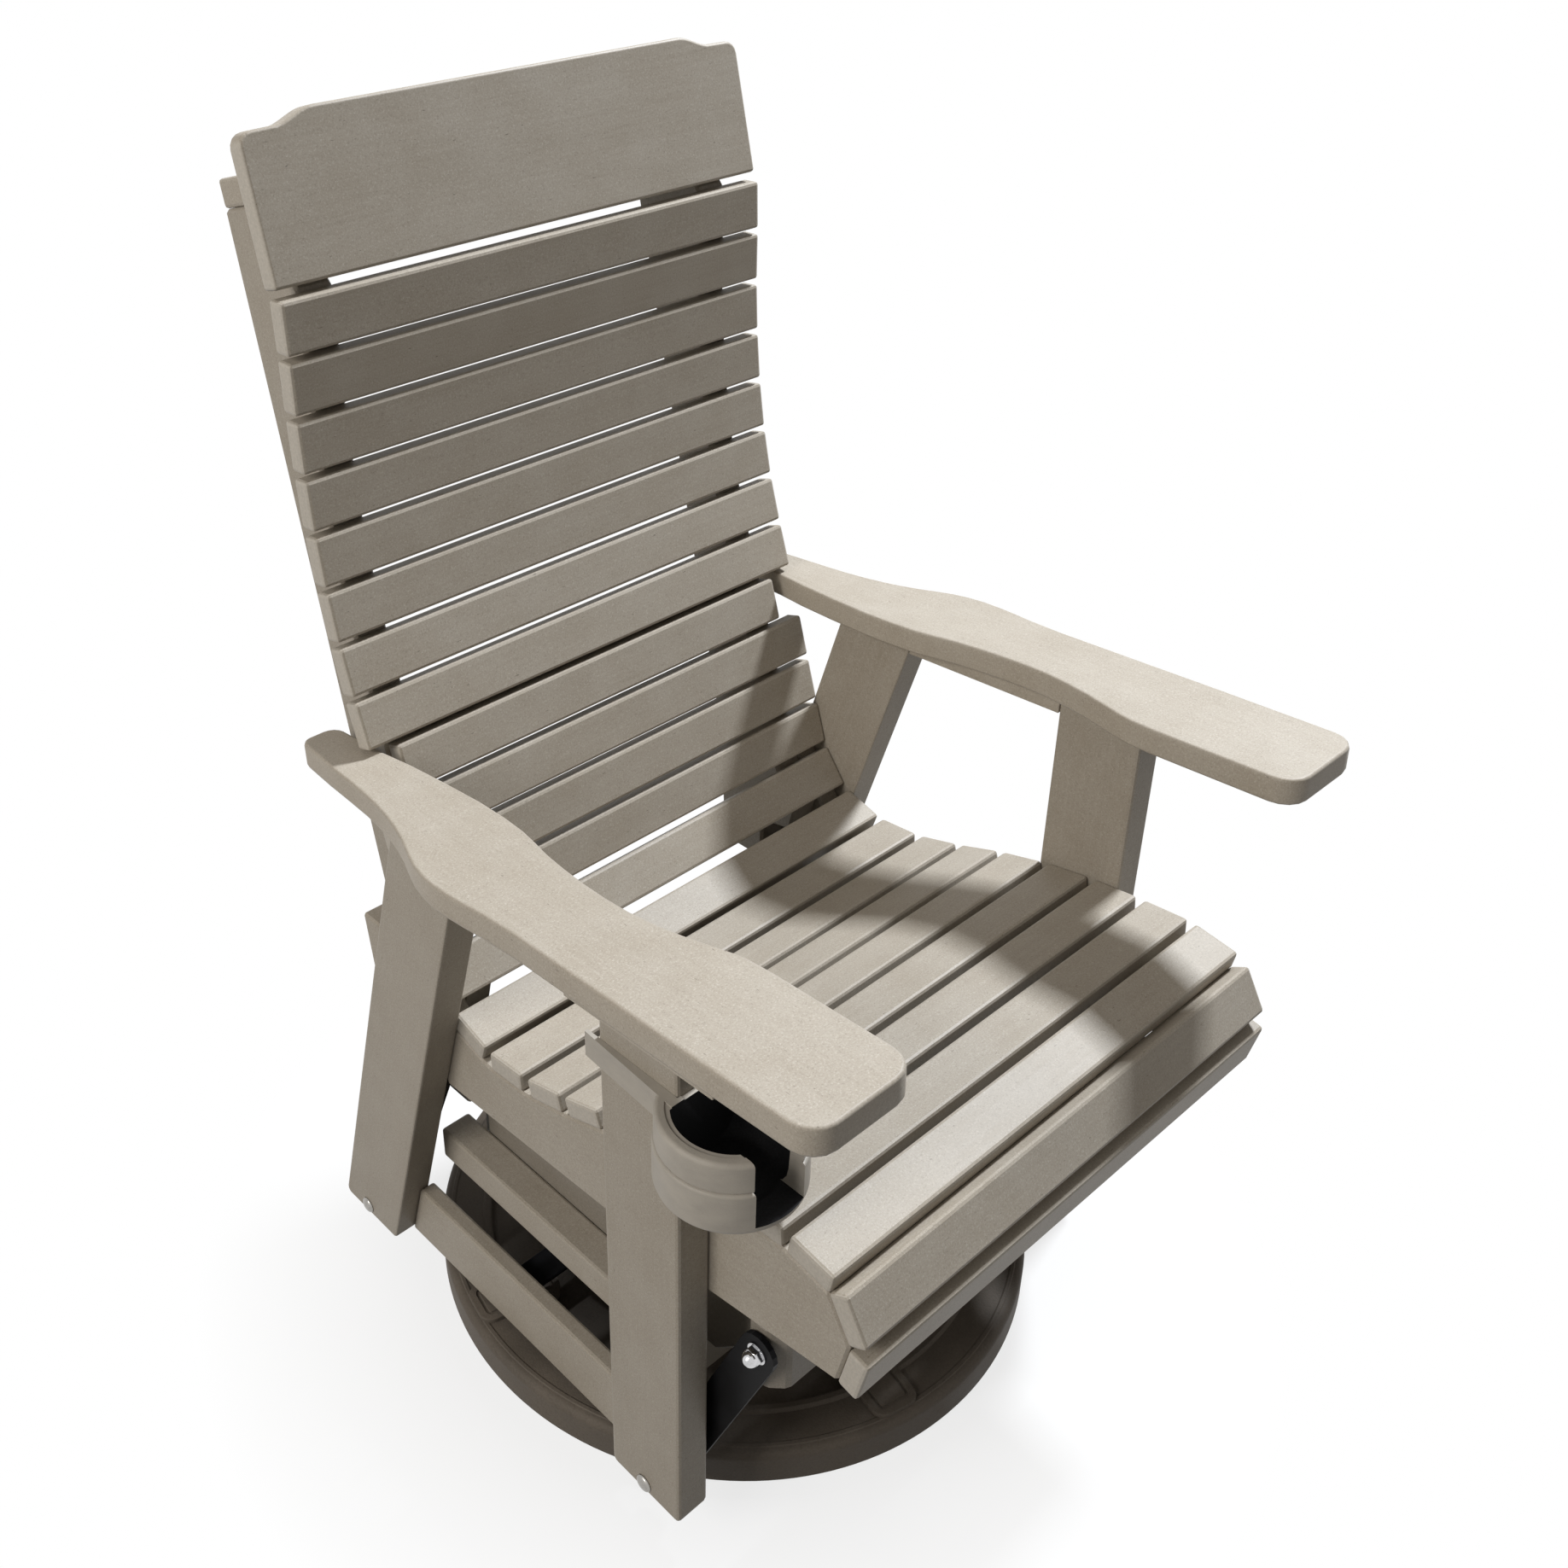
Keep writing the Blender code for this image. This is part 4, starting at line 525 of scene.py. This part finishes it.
def bright_steel(name, colour, low, high):
    """Bare or plated steel with a slightly varied gloss."""
    material, tree, shader = finish_start(name)
    marks = grain(tree, per_metre=260.0, detail=3.0)
    base = blended(tree, spread(tree, marks, 0.35, 0.65), shaded(colour, 0.86), shaded(colour, 1.04))
    tree.links.new(base, shader.inputs["Base Color"])
    shader.inputs["Metallic"].default_value = 1.0
    tree.links.new(spread(tree, marks, 0.3, 0.7, low, high), shader.inputs["Roughness"])
    relief(tree, shader, marks, 0.00004, 0.4)
    return material


def wear(piece, material):
    """Gives a piece one finish."""
    if piece.data.materials:
        piece.data.materials[0] = material
    else:
        piece.data.materials.append(material)


# Modelling steps

def alone(piece):
    """Selects one piece and nothing else."""
    if bpy.context.object and bpy.context.object.mode != "OBJECT":
        bpy.ops.object.mode_set(mode="OBJECT")
    bpy.ops.object.select_all(action="DESELECT")
    piece.select_set(True)
    bpy.context.view_layer.objects.active = piece


def clear_choice():
    """Deselects everything before a new piece is added."""
    bpy.ops.object.select_all(action="DESELECT")


def applied(piece, kind, **options):
    """Adds a modifier and applies it."""
    alone(piece)
    made = piece.modifiers.new(kind.lower(), kind)
    for key, value in options.items():
        setattr(made, key, value)
    bpy.ops.object.modifier_apply(modifier=made.name)


def cut_or_join(piece, other, operation):
    """A Boolean with another shape, which is used up."""
    applied(piece, "BOOLEAN", object=other, operation=operation, solver="EXACT")
    bpy.data.objects.remove(other)
    if not piece.data.polygons:
        raise RuntimeError(f"{piece.name} was lost in a cut or a join")


def softened(piece, angle):
    """Smooth shading whose broad faces stay flat."""
    alone(piece)
    bpy.ops.object.shade_smooth_by_angle(angle=math.radians(angle))
    applied(piece, "WEIGHTED_NORMAL", keep_sharp=True, weight=80)


def turned(name, profile, segments):
    """A turned shape about Z, from a filled circle drawn out step by step: radius and height."""
    clear_choice()
    radius, height = profile[0]
    bpy.ops.mesh.primitive_circle_add(vertices=segments, radius=radius, fill_type="NGON",
                                      location=(0.0, 0.0, height))
    piece = bpy.context.object
    piece.name = name
    bpy.ops.object.transform_apply(location=True, rotation=True, scale=True)
    bpy.ops.object.mode_set(mode="EDIT")
    bpy.ops.mesh.select_all(action="SELECT")
    for next_radius, next_height in profile[1:]:
        bpy.ops.mesh.extrude_region()
        share = next_radius / radius
        bpy.ops.transform.resize(value=(share, share, 1.0), center_override=(0.0, 0.0, height))
        bpy.ops.transform.translate(value=(0.0, 0.0, next_height - height))
        radius, height = next_radius, next_height
    bpy.ops.mesh.select_all(action="SELECT")
    bpy.ops.mesh.remove_doubles(threshold=MERGE)
    bpy.ops.mesh.normals_make_consistent(inside=False)
    bpy.ops.object.mode_set(mode="OBJECT")
    return piece


def box_piece(name, low, high):
    """A block between two corners."""
    clear_choice()
    centre = [(a + b) / 2 for a, b in zip(low, high)]
    bpy.ops.mesh.primitive_cube_add(size=1.0, location=centre)
    piece = bpy.context.object
    piece.name = name
    piece.scale = [b - a for a, b in zip(low, high)]
    bpy.ops.object.transform_apply(location=True, rotation=True, scale=True)
    return piece


def placed_at(piece, matrix):
    """Moves a piece by its mesh, so that its object stays at the origin."""
    piece.data.transform(matrix)
    piece.data.update()
    return piece


def copied(piece, name):
    """A copy with its own mesh."""
    twin = piece.copy()
    twin.data = piece.data.copy()
    twin.name = name
    bpy.context.scene.collection.objects.link(twin)
    return twin


def refined(node, name):
    """A merged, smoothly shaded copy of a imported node, which it stands for."""
    piece = copied(NODES[node], name)
    piece.parent = None
    for key in list(piece.keys()):
        del piece[key]
    alone(piece)
    bpy.ops.object.mode_set(mode="EDIT")
    bpy.ops.mesh.select_all(action="SELECT")
    bpy.ops.mesh.remove_doubles(threshold=PACKED_MERGE)
    bpy.ops.mesh.dissolve_limited(angle_limit=math.radians(0.4))
    bpy.ops.object.mode_set(mode="OBJECT")
    softened(piece, 40.0)
    return piece


def edge_round(piece, width, angle, segments):
    """Rounds the edges that are sharper than an angle."""
    applied(piece, "BEVEL", width=width, segments=segments, limit_method="ANGLE",
            angle_limit=math.radians(angle), use_clamp_overlap=True, harden_normals=False)


def quarter(radius, steps, inner, top):
    """Points of a rounded outer edge from its side up to its top."""
    return [(inner + radius * math.cos(math.radians(90.0 * i / steps)),
             top - radius + radius * math.sin(math.radians(90.0 * i / steps))) for i in range(steps + 1)]


def stepped(start, width, foot, height, shares):
    """Points of an outline from its shares of a width and of a height."""
    return [(start + across * width, foot + up * height) for across, up in shares]


# Pieces

class GLIDER_OT_lumber(bpy.types.Operator):
    """Gives every board its grained finish"""
    bl_idname = "glider.lumber"
    bl_label = "Finish the boards"

    def execute(self, context):
        crosswise = lumber("lumber_crosswise", 0, end_at=SLAT_END)
        short = lumber("lumber_short_slat", 0, end_at=SHORT_SLAT_END)
        # Painted shade: the legs, posts and lengthwise boards get slightly darker copies of the same lumber,
        # by shares under one
        upright = lumber("lumber_upright_painted_shade", 2, share=0.91)
        raked = lumber("lumber_raked_painted_shade", 2, lean=REAR_LEG_LEAN, share=0.91)
        lengthwise = lumber("lumber_lengthwise_painted_shade", 1, share=0.97)
        # Painted shade: the base frame under the seat gets a much darker copy of the same lumber, for the
        # shade it stands in
        shade = lumber("lumber_base_frame_painted_shade", 0, share=0.62)
        shade_side = lumber("lumber_base_sides_painted_shade", 1, share=0.62)
        for name, node in NODES.items():
            if name == "slat_back_09":
                wear(node, short)
            elif name.startswith(("slat_", "rail_")):
                wear(node, crosswise)
            elif name.startswith(("leg_front", "back_post")):
                wear(node, upright)
            elif name.startswith("leg_rear"):
                wear(node, raked)
            elif name.startswith(("seat_panel", "stretcher_left", "stretcher_right", "base_rail")):
                wear(node, lengthwise)
            elif name.startswith("base_beam"):
                wear(node, shade)
            elif name.startswith("base_"):
                wear(node, shade_side)
        return {"FINISHED"}


class GLIDER_OT_crest(bpy.types.Operator):
    """Makes the crest board with smooth shoulders"""
    bl_idname = "glider.crest"
    bl_label = "Crest board"

    def execute(self, context):
        crest = refined("crest_board", "crest_board_dressed")
        wear(crest, lumber("lumber_crest", 0, end_at=SLAT_END))
        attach(crest, "chair_body")
        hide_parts("crest_board")
        return {"FINISHED"}


class GLIDER_OT_armrests(bpy.types.Operator):
    """Makes the two paddle-shaped armrests with their cleats"""
    bl_idname = "glider.armrests"
    bl_label = "Armrests"

    def execute(self, context):
        # Painted light: the armrests get a lighter copy of the lumber, by a share over one, for their
        # brightly lit tops
        finish = lumber("lumber_armrest_painted_light", 1, share=1.06)
        for side in ("left", "right"):
            arm = refined(f"armrest_{side}", f"armrest_{side}_dressed")
            wear(arm, finish)
            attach(arm, "chair_body")
            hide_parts(f"armrest_{side}")
        return {"FINISHED"}


def disc_outline(size):
    """Half of the disc's section: foot, rim with its bead, ring, recess and boss."""
    face = size.rim_top - size.rim_drop
    crest = DISC_RADIUS - size.rim_round
    foot_step = FOOT_SHARE * size.foot
    outline = [(DISC_RADIUS - size.foot, 0.0), (DISC_RADIUS - foot_step, foot_step),
               (DISC_RADIUS, size.foot)]
    outline += quarter(size.rim_round, 6, crest, face)
    outline += stepped(crest, -size.bead_width, face, size.bead_rise, BEAD_SHARES)
    outline += stepped(size.ring, size.ring_width, face, size.ring_rise, RING_SHARES)
    outline += stepped(size.ring, -size.fillet, size.recess, size.fillet, FILLET_SHARES)
    outline += stepped(size.boss, size.boss_slope, size.recess, DISC_TOP - size.recess, BOSS_SHARES)
    return outline + [(CENTRE, DISC_TOP)]


def disc_pad(size):
    """One pad with round corners and a dished top, which starts at the origin and points along X."""
    length = size.pad_outer - size.pad_inner
    half = size.pad_width / 2
    edge_rise = PAD_STEPS[0][0] + PAD_STEPS[1][0]
    pad = box_piece("pad", (0.0, -half, size.recess - size.pad_sink),
                    (length, half, size.pad_top - edge_rise))
    bpy.ops.object.mode_set(mode="EDIT")
    bpy.ops.mesh.select_mode(type="EDGE")
    bpy.ops.mesh.select_all(action="DESELECT")
    bpy.ops.object.mode_set(mode="OBJECT")
    for edge in pad.data.edges:
        low, high = (pad.data.vertices[i].co.z for i in edge.vertices)
        edge.select = abs(high - low) > HAIR
    bpy.ops.object.mode_set(mode="EDIT")
    bpy.ops.mesh.bevel(offset=size.pad_corner, segments=7, affect="EDGES")
    bpy.ops.mesh.select_mode(type="FACE")
    bpy.ops.mesh.select_all(action="DESELECT")
    bpy.ops.object.mode_set(mode="OBJECT")
    for face in pad.data.polygons:
        face.select = face.normal.z > 0.9
    bpy.ops.object.mode_set(mode="EDIT")
    for rise, inward in PAD_STEPS:
        bpy.ops.mesh.inset(thickness=inward, depth=rise)
    bpy.ops.object.mode_set(mode="OBJECT")
    return pad


class GLIDER_OT_disc(bpy.types.Operator):
    """Makes the round floor disc with its rim, ring, boss and radial pads"""
    bl_idname = "glider.disc"
    bl_label = "Floor disc"

    def execute(self, context):
        size = settings("disc")
        disc = turned("floor_disc_dressed", disc_outline(size), size.segments)
        pad = disc_pad(size)
        for i in range(4):
            turn = Matrix.Rotation(size.pad_turn + math.pi / 2 * i, 4, "Z")
            twin = copied(pad, f"pad_{i + 1}")
            placed_at(twin, turn @ Matrix.Translation((size.pad_inner, 0.0, 0.0)))
            cut_or_join(disc, twin, "UNION")
        bpy.data.objects.remove(pad)
        softened(disc, 24.0)
        wear(disc, disc_plastic())
        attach(disc, "floor_base")
        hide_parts("floor_disc")
        return {"FINISHED"}


def cup_outline(size):
    """Half of the cup's section without its well: foot, two bands with a groove between, and rim."""
    low, top, line = CUP_LOW.z, CUP_HIGH.z, size.groove
    upper = size.radius - size.band_step
    lip = size.well + size.lip_width
    outline = stepped(size.radius, -size.foot_width, low, size.foot_height, CUP_FOOT_SHARES)
    outline += stepped(size.radius, -size.groove_depth, line, size.groove_depth, GROOVE_BELOW_SHARES)
    outline += stepped(upper, -size.groove_depth, line, size.groove_depth, GROOVE_ABOVE_SHARES)
    outline += quarter(size.rim_round, 5, upper - size.rim_round, top)
    outline += [(lip + size.lip_slope, top), (lip, top - size.lip_drop)]
    return outline + [(CENTRE, top - size.lip_drop)]


def cup_well(size):
    """The space inside the cup, with a rounded foot, open at the top."""
    top = CUP_HIGH.z
    outline = stepped(size.well, -size.well_round, CUP_LOW.z + size.floor, size.well_rise, WELL_SHARES)
    outline += [(size.well, size.groove), (size.well, top - size.painted_shade_depth), (size.well, top + OVERRUN / 2)]
    return turned("well", outline, 96)


class GLIDER_OT_cup(bpy.types.Operator):
    """Makes the moulded cup holder with its bands, slot, well and flange"""
    bl_idname = "glider.cup"
    bl_label = "Cup holder"

    def execute(self, context):
        size = settings("cup")
        wall = -LEG_OUTER - FIT
        back = LEG_FRONT - FIT
        low, top = CUP_LOW.z, CUP_HIGH.z
        floor = low + size.floor
        axis = Matrix.Translation((size.centre_x, size.centre_y, 0.0))
        cup = placed_at(turned("cup_holder_dressed", cup_outline(size), 96), axis)
        flange = box_piece("flange", (wall - size.flange_root, size.centre_y, top - size.flange_height),
                           (wall + size.flange_tip, CUP_HIGH.y, top))
        for point in flange.data.vertices:
            if point.co.y > back and point.co.x < wall - HAIR:
                point.co.x = wall - size.flange_tip
        cut_or_join(cup, flange, "UNION")
        leg = box_piece("leg_room", (wall, back, low - OVERRUN), (0.0, 0.0, top + OVERRUN))
        cut_or_join(cup, leg, "DIFFERENCE")
        well = placed_at(cup_well(size), axis)
        behind = box_piece("behind", (size.centre_x - size.radius, back - size.back_wall, low),
                           (size.centre_x + size.radius, 0.0, top + OVERRUN))
        cut_or_join(well, behind, "DIFFERENCE")
        cut_or_join(cup, well, "DIFFERENCE")
        slot = box_piece("slot", (size.slot_from, size.centre_y - size.radius - OVERRUN, floor + size.sill),
                         (size.slot_to, size.centre_y - size.well / 2, top + OVERRUN))
        cut_or_join(cup, slot, "DIFFERENCE")
        edge_round(cup, size.edge, 38.0, 3)
        softened(cup, 42.0)
        wear(cup, cup_plastic())
        # Painted shade: the well's wall and floor below a depth take the near-black finish
        cup.data.materials.append(well_painted_shade())
        for face in cup.data.polygons:
            across = math.hypot(face.center.x - size.centre_x, face.center.y - size.centre_y)
            inside = across < size.well + 4 * HAIR and face.normal.z > -0.5
            if inside and floor - size.edge < face.center.z < top - size.painted_shade_depth:
                face.material_index = 1
        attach(cup, "chair_body")
        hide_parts("cup_holder")
        return {"FINISHED"}


def hexagon(size, start, end):
    """A chamfered hexagon nut about Z."""
    clear_choice()
    bpy.ops.mesh.primitive_cylinder_add(vertices=6, radius=size.nut, depth=end - start,
                                        location=(0.0, 0.0, (start + end) / 2))
    nut = bpy.context.object
    bpy.ops.object.transform_apply(location=True, rotation=True, scale=True)
    tip, body = size.nut * NUT_TIP_SHARE, size.nut * NUT_BODY_SHARE
    rim = turned("chamfer", [(tip, start), (body, start + size.nut_chamfer), (body, end - size.nut_chamfer),
                             (tip, end)], 48)
    cut_or_join(nut, rim, "INTERSECT")
    edge_round(nut, size.edge / 2, 30.0, 1)
    return nut


def dome(radius, start, height, steps=7):
    """A round head's profile from its rim up to near its tip."""
    return [(radius * math.cos(math.radians(84.0 * i / steps)),
             start + height * math.sin(math.radians(84.0 * i / steps))) for i in range(steps + 1)]


def along_x(piece, sign, node):
    """Lays a piece made about Z along X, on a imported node's axis, pointing outwards on its side."""
    low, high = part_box(node)
    axis = Matrix.Translation((0.0, (low.y + high.y) / 2, (low.z + high.z) / 2))
    return placed_at(piece, axis @ Matrix.Rotation(math.radians(90.0 * sign), 4, "Y"))


def bolt_outline(size, inner, outer):
    """Half of a bolt's section: tip, inner washer, shank, spacer between link and leg, round head."""
    spacer, leg, face = LINK_OUTER + FIT, LEG_INNER - FIT, LEG_OUTER + FIT
    washer_out = LINK_INNER - FIT
    washer_in = washer_out - size.washer_thick
    head = face + size.head_rim
    crown = head + HAIR
    outline = [(size.pin, inner), (size.pin, washer_in), (size.washer, washer_in),
               (size.washer, washer_out), (size.pin, washer_out), (size.pin, spacer),
               (size.washer, spacer), (size.washer, leg), (size.pin, leg), (size.pin, face),
               (size.head, face), (size.head, head)]
    return outline + dome(size.head, crown, outer - crown - HAIR)[1:]


class GLIDER_OT_bolts(bpy.types.Operator):
    """Makes the round-headed bolts at the feet of the legs"""
    bl_idname = "glider.bolts"
    bl_label = "Foot bolts"

    def execute(self, context):
        size = settings("bolts")
        steel = bright_steel("stainless", settings("steel").stainless, 0.20, 0.34)
        nut_end = LINK_INNER - FIT - size.washer_thick
        for row in ("front", "rear"):
            for side, sign in (("left", 1), ("right", -1)):
                node = f"pivot_bolt_{row}_{side}"
                inner, outer = sorted(abs(corner.x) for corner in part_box(node))
                bolt = turned(node + "_dressed", bolt_outline(size, inner, outer), 40)
                cut_or_join(bolt, hexagon(size, nut_end - size.nut_height, nut_end - HAIR), "UNION")
                softened(bolt, 38.0)
                along_x(bolt, sign, node)
                wear(bolt, steel)
                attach(bolt, "chair_body")
                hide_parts(node)
        return {"FINISHED"}


def rod_outline(size, row):
    """One half of a rod's section, from the beam's end out: washer or bush, link's pin, washer, nut."""
    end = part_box(f"pivot_rod_{row}")[1].x
    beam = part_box(f"base_beam_{row}")[1].x + FIT
    inside, link = LINK_INNER - FIT, LINK_OUTER + FIT
    nut_start = link + size.washer_thick
    collar = size.washer if row == "front" else size.bush
    outline = [(size.pin, beam), (collar, beam), (collar, inside), (size.pin, inside), (size.pin, link),
               (size.washer, link), (size.washer, nut_start)]
    if row == "front":
        acorn = nut_start + size.nut_height
        outline += [(size.pin, nut_start), (size.pin, acorn)]
        return outline + dome(size.nut * ACORN_SHARE, acorn, end - acorn - HAIR)
    return outline + [(size.nut, nut_start), (size.nut, end - size.edge), (size.nut - size.edge, end)]


class GLIDER_OT_rods(bpy.types.Operator):
    """Makes the two through-rods, the front one with its acorn nuts and washers"""
    bl_idname = "glider.rods"
    bl_label = "Rods and acorn nuts"

    def execute(self, context):
        size = settings("bolts")
        chrome = bright_steel("chrome_plate", settings("steel").chrome, 0.07, 0.16)
        nut_start = LINK_OUTER + size.washer_thick
        nut_end = nut_start + FIT + size.nut_height + 2 * HAIR
        for row in ("front", "rear"):
            node = f"pivot_rod_{row}"
            half = rod_outline(size, row)
            rod = turned(node + "_dressed", [(radius, -x) for radius, x in reversed(half)] + half, 40)
            if row == "front":
                cut_or_join(rod, hexagon(size, nut_start, nut_end), "UNION")
                cut_or_join(rod, hexagon(size, -nut_end, -nut_start), "UNION")
            softened(rod, 38.0)
            along_x(rod, 1, node)
            wear(rod, chrome)
            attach(rod, "base_frame")
            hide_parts(node)
        return {"FINISHED"}


class GLIDER_OT_steel(bpy.types.Operator):
    """Coats the links, the strap and the turntable"""
    bl_idname = "glider.steel"
    bl_label = "Finish the steel"

    def execute(self, context):
        coat = black_coat()
        bright = bright_steel("cage_steel", settings("steel").stainless, 0.18, 0.30)
        for name, node in NODES.items():
            if name.startswith("link_") or name in ("stretcher_tie", "swivel_plate_lower",
                                                    "swivel_plate_upper"):
                wear(node, coat)
            elif name == "swivel_ball_cage":
                wear(node, bright)
        return {"FINISHED"}


def light_path(tree):
    """One where the camera, a mirror or glass sees the surface."""
    rays = tree.nodes.new("ShaderNodeLightPath")
    seen = maths(tree, "MAXIMUM", rays.outputs["Is Camera Ray"], rays.outputs["Is Glossy Ray"])
    return maths(tree, "MAXIMUM", seen, rays.outputs["Is Transmission Ray"])


def either(tree, factor, first, second):
    """A shader mixed from two others."""
    made = tree.nodes.new("ShaderNodeMixShader")
    for socket, source in zip(made.inputs, (factor, first, second)):
        tree.links.new(source, socket)
    return made.outputs["Shader"]


def glow(tree, kind, socket, colour, strength):
    """An emission or background shader of one colour."""
    made = tree.nodes.new(kind)
    made.inputs["Color"].default_value = colour
    made.inputs["Strength"].default_value = strength
    return made.outputs[socket]


def floor_finish(size):
    """A pale floor that keeps the glider's shadow near it and is seen white further out."""
    material, tree, shader = finish_start("studio_floor")
    seen = light_path(tree)
    shade = blended(tree, seen, (0.12, 0.12, 0.12, 1.0), (0.80, 0.80, 0.80, 1.0))
    tree.links.new(shade, shader.inputs["Base Color"])
    shader.inputs["Roughness"].default_value = 0.9
    shader.inputs["Specular IOR Level"].default_value = 0.1
    where = tree.nodes.new("ShaderNodeTexCoord")
    away = tree.nodes.new("ShaderNodeVectorMath")
    away.operation = "LENGTH"
    tree.links.new(where.outputs["Object"], away.inputs[0])
    far = spread(tree, away.outputs["Value"], size.fade_from, size.fade_to, size.fade_least, 1.0)
    white = glow(tree, "ShaderNodeEmission", "Emission", (1.0, 1.0, 1.0, 1.0), 1.0)
    surface = either(tree, maths(tree, "MULTIPLY", far, seen), shader.outputs["BSDF"], white)
    tree.links.new(surface, tree.nodes["Material Output"].inputs["Surface"])
    return material


def sky(world, strength):
    """Even warm light from all sides, seen as white."""
    world.use_nodes = True
    tree = world.node_tree
    light = tree.nodes["Background"]
    light.inputs["Color"].default_value = (1.0, 0.94, 0.87, 1.0)
    light.inputs["Strength"].default_value = strength
    white = glow(tree, "ShaderNodeBackground", "Background", (1.0, 1.0, 1.0, 1.0), 1.0)
    surface = either(tree, light_path(tree), light.outputs["Background"], white)
    tree.links.new(surface, tree.nodes["World Output"].inputs["Surface"])


def lamp(name, place, power, width, colour):
    """A square lamp that points at the middle of the glider."""
    data = bpy.data.lights.new(name, "AREA")
    data.energy = power
    data.size = width
    data.color = colour
    obj = bpy.data.objects.new(name, data)
    obj.location = place
    aim = Vector((0.0, 0.0, 0.5)) - Vector(place)
    obj.rotation_euler = aim.to_track_quat("-Z", "Y").to_euler()
    bpy.context.scene.collection.objects.link(obj)


def photo_camera(scene):
    """The camera at the photograph's place and angle."""
    camera = bpy.data.objects.new("photo_view", bpy.data.cameras.new("photo_view"))
    scene.collection.objects.link(camera)
    right, up = Vector(CAMERA_RIGHT), Vector(CAMERA_UP)
    turn = Matrix((right, up, right.cross(up))).transposed().to_4x4()
    camera.matrix_world = Matrix.Translation(CAMERA_PLACE) @ turn
    centre_x, centre_y = VIEW_CENTRE_PIXELS
    camera.data.sensor_width = SENSOR_WIDTH
    camera.data.lens = SENSOR_WIDTH * FOCAL_PIXELS / PHOTO_PIXELS
    camera.data.shift_x = (PHOTO_PIXELS / 2 - centre_x) / PHOTO_PIXELS
    camera.data.shift_y = (centre_y - PHOTO_PIXELS / 2) / PHOTO_PIXELS
    camera.data.clip_start = 0.01
    scene.camera = camera


class GLIDER_OT_stage(bpy.types.Operator):
    """Sets the floor, the light and the camera"""
    bl_idname = "glider.stage"
    bl_label = "Stage"

    def execute(self, context):
        scene = context.scene
        size = settings("stage")
        scene.view_settings.view_transform = "Standard"
        clear_choice()
        bpy.ops.mesh.primitive_plane_add(size=size.floor, location=(0.0, 0.0, 0.0))
        floor = bpy.context.object
        floor.name = "studio_floor"
        wear(floor, floor_finish(size))
        scene.world = bpy.data.worlds.new("studio_world")
        sky(scene.world, size.world)
        lamp("key_lamp", (3.0, 0.05, 4.3), size.key, 0.55, (0.95, 1.0, 1.07))
        lamp("side_lamp", (-3.5, 0.1, 2.6), size.side, 1.5, (1.0, 0.97, 0.93))
        lamp("fill_lamp", (-3.3, 0.3, 1.3), size.fill, 1.6, (1.0, 0.97, 0.93))
        photo_camera(scene)
        return {"FINISHED"}


class GLIDER_PT_panel(bpy.types.Panel):
    """Lists the glider's pieces"""
    bl_label = "Swivel glider"
    bl_idname = "GLIDER_PT_panel"
    bl_space_type = "VIEW_3D"
    bl_region_type = "UI"
    bl_category = "Glider"

    def draw(self, context):
        for name, group in GROUPS.items():
            box = self.layout.box()
            box.label(text=name.capitalize())
            for key in group.__annotations__:
                box.prop(settings(name), key)
        for operator in OPERATORS:
            self.layout.operator(operator.bl_idname)


GROUPS = {"lumber": LumberSettings, "moulding": MouldingSettings, "steel": SteelSettings,
          "disc": DiscSettings, "cup": CupSettings, "bolts": BoltSettings, "stage": StageSettings}
OPERATORS = (GLIDER_OT_lumber, GLIDER_OT_crest, GLIDER_OT_armrests, GLIDER_OT_disc, GLIDER_OT_cup,
             GLIDER_OT_bolts, GLIDER_OT_rods, GLIDER_OT_steel, GLIDER_OT_stage)


def register():
    for group in GROUPS.values():
        bpy.utils.register_class(group)
    for name, group in GROUPS.items():
        setattr(bpy.types.Scene, "glider_" + name, PointerProperty(type=group))
    for operator in OPERATORS:
        bpy.utils.register_class(operator)
    bpy.utils.register_class(GLIDER_PT_panel)


def unregister():
    bpy.utils.unregister_class(GLIDER_PT_panel)
    for operator in reversed(OPERATORS):
        bpy.utils.unregister_class(operator)
    for name, group in reversed(GROUPS.items()):
        delattr(bpy.types.Scene, "glider_" + name)
        bpy.utils.unregister_class(group)


def main():
    register()
    bpy.ops.glider.lumber()
    bpy.ops.glider.crest()
    bpy.ops.glider.armrests()
    bpy.ops.glider.disc()
    bpy.ops.glider.cup()
    bpy.ops.glider.bolts()
    bpy.ops.glider.rods()
    bpy.ops.glider.steel()
    bpy.ops.glider.stage()


if __name__ == "__main__":
    main()
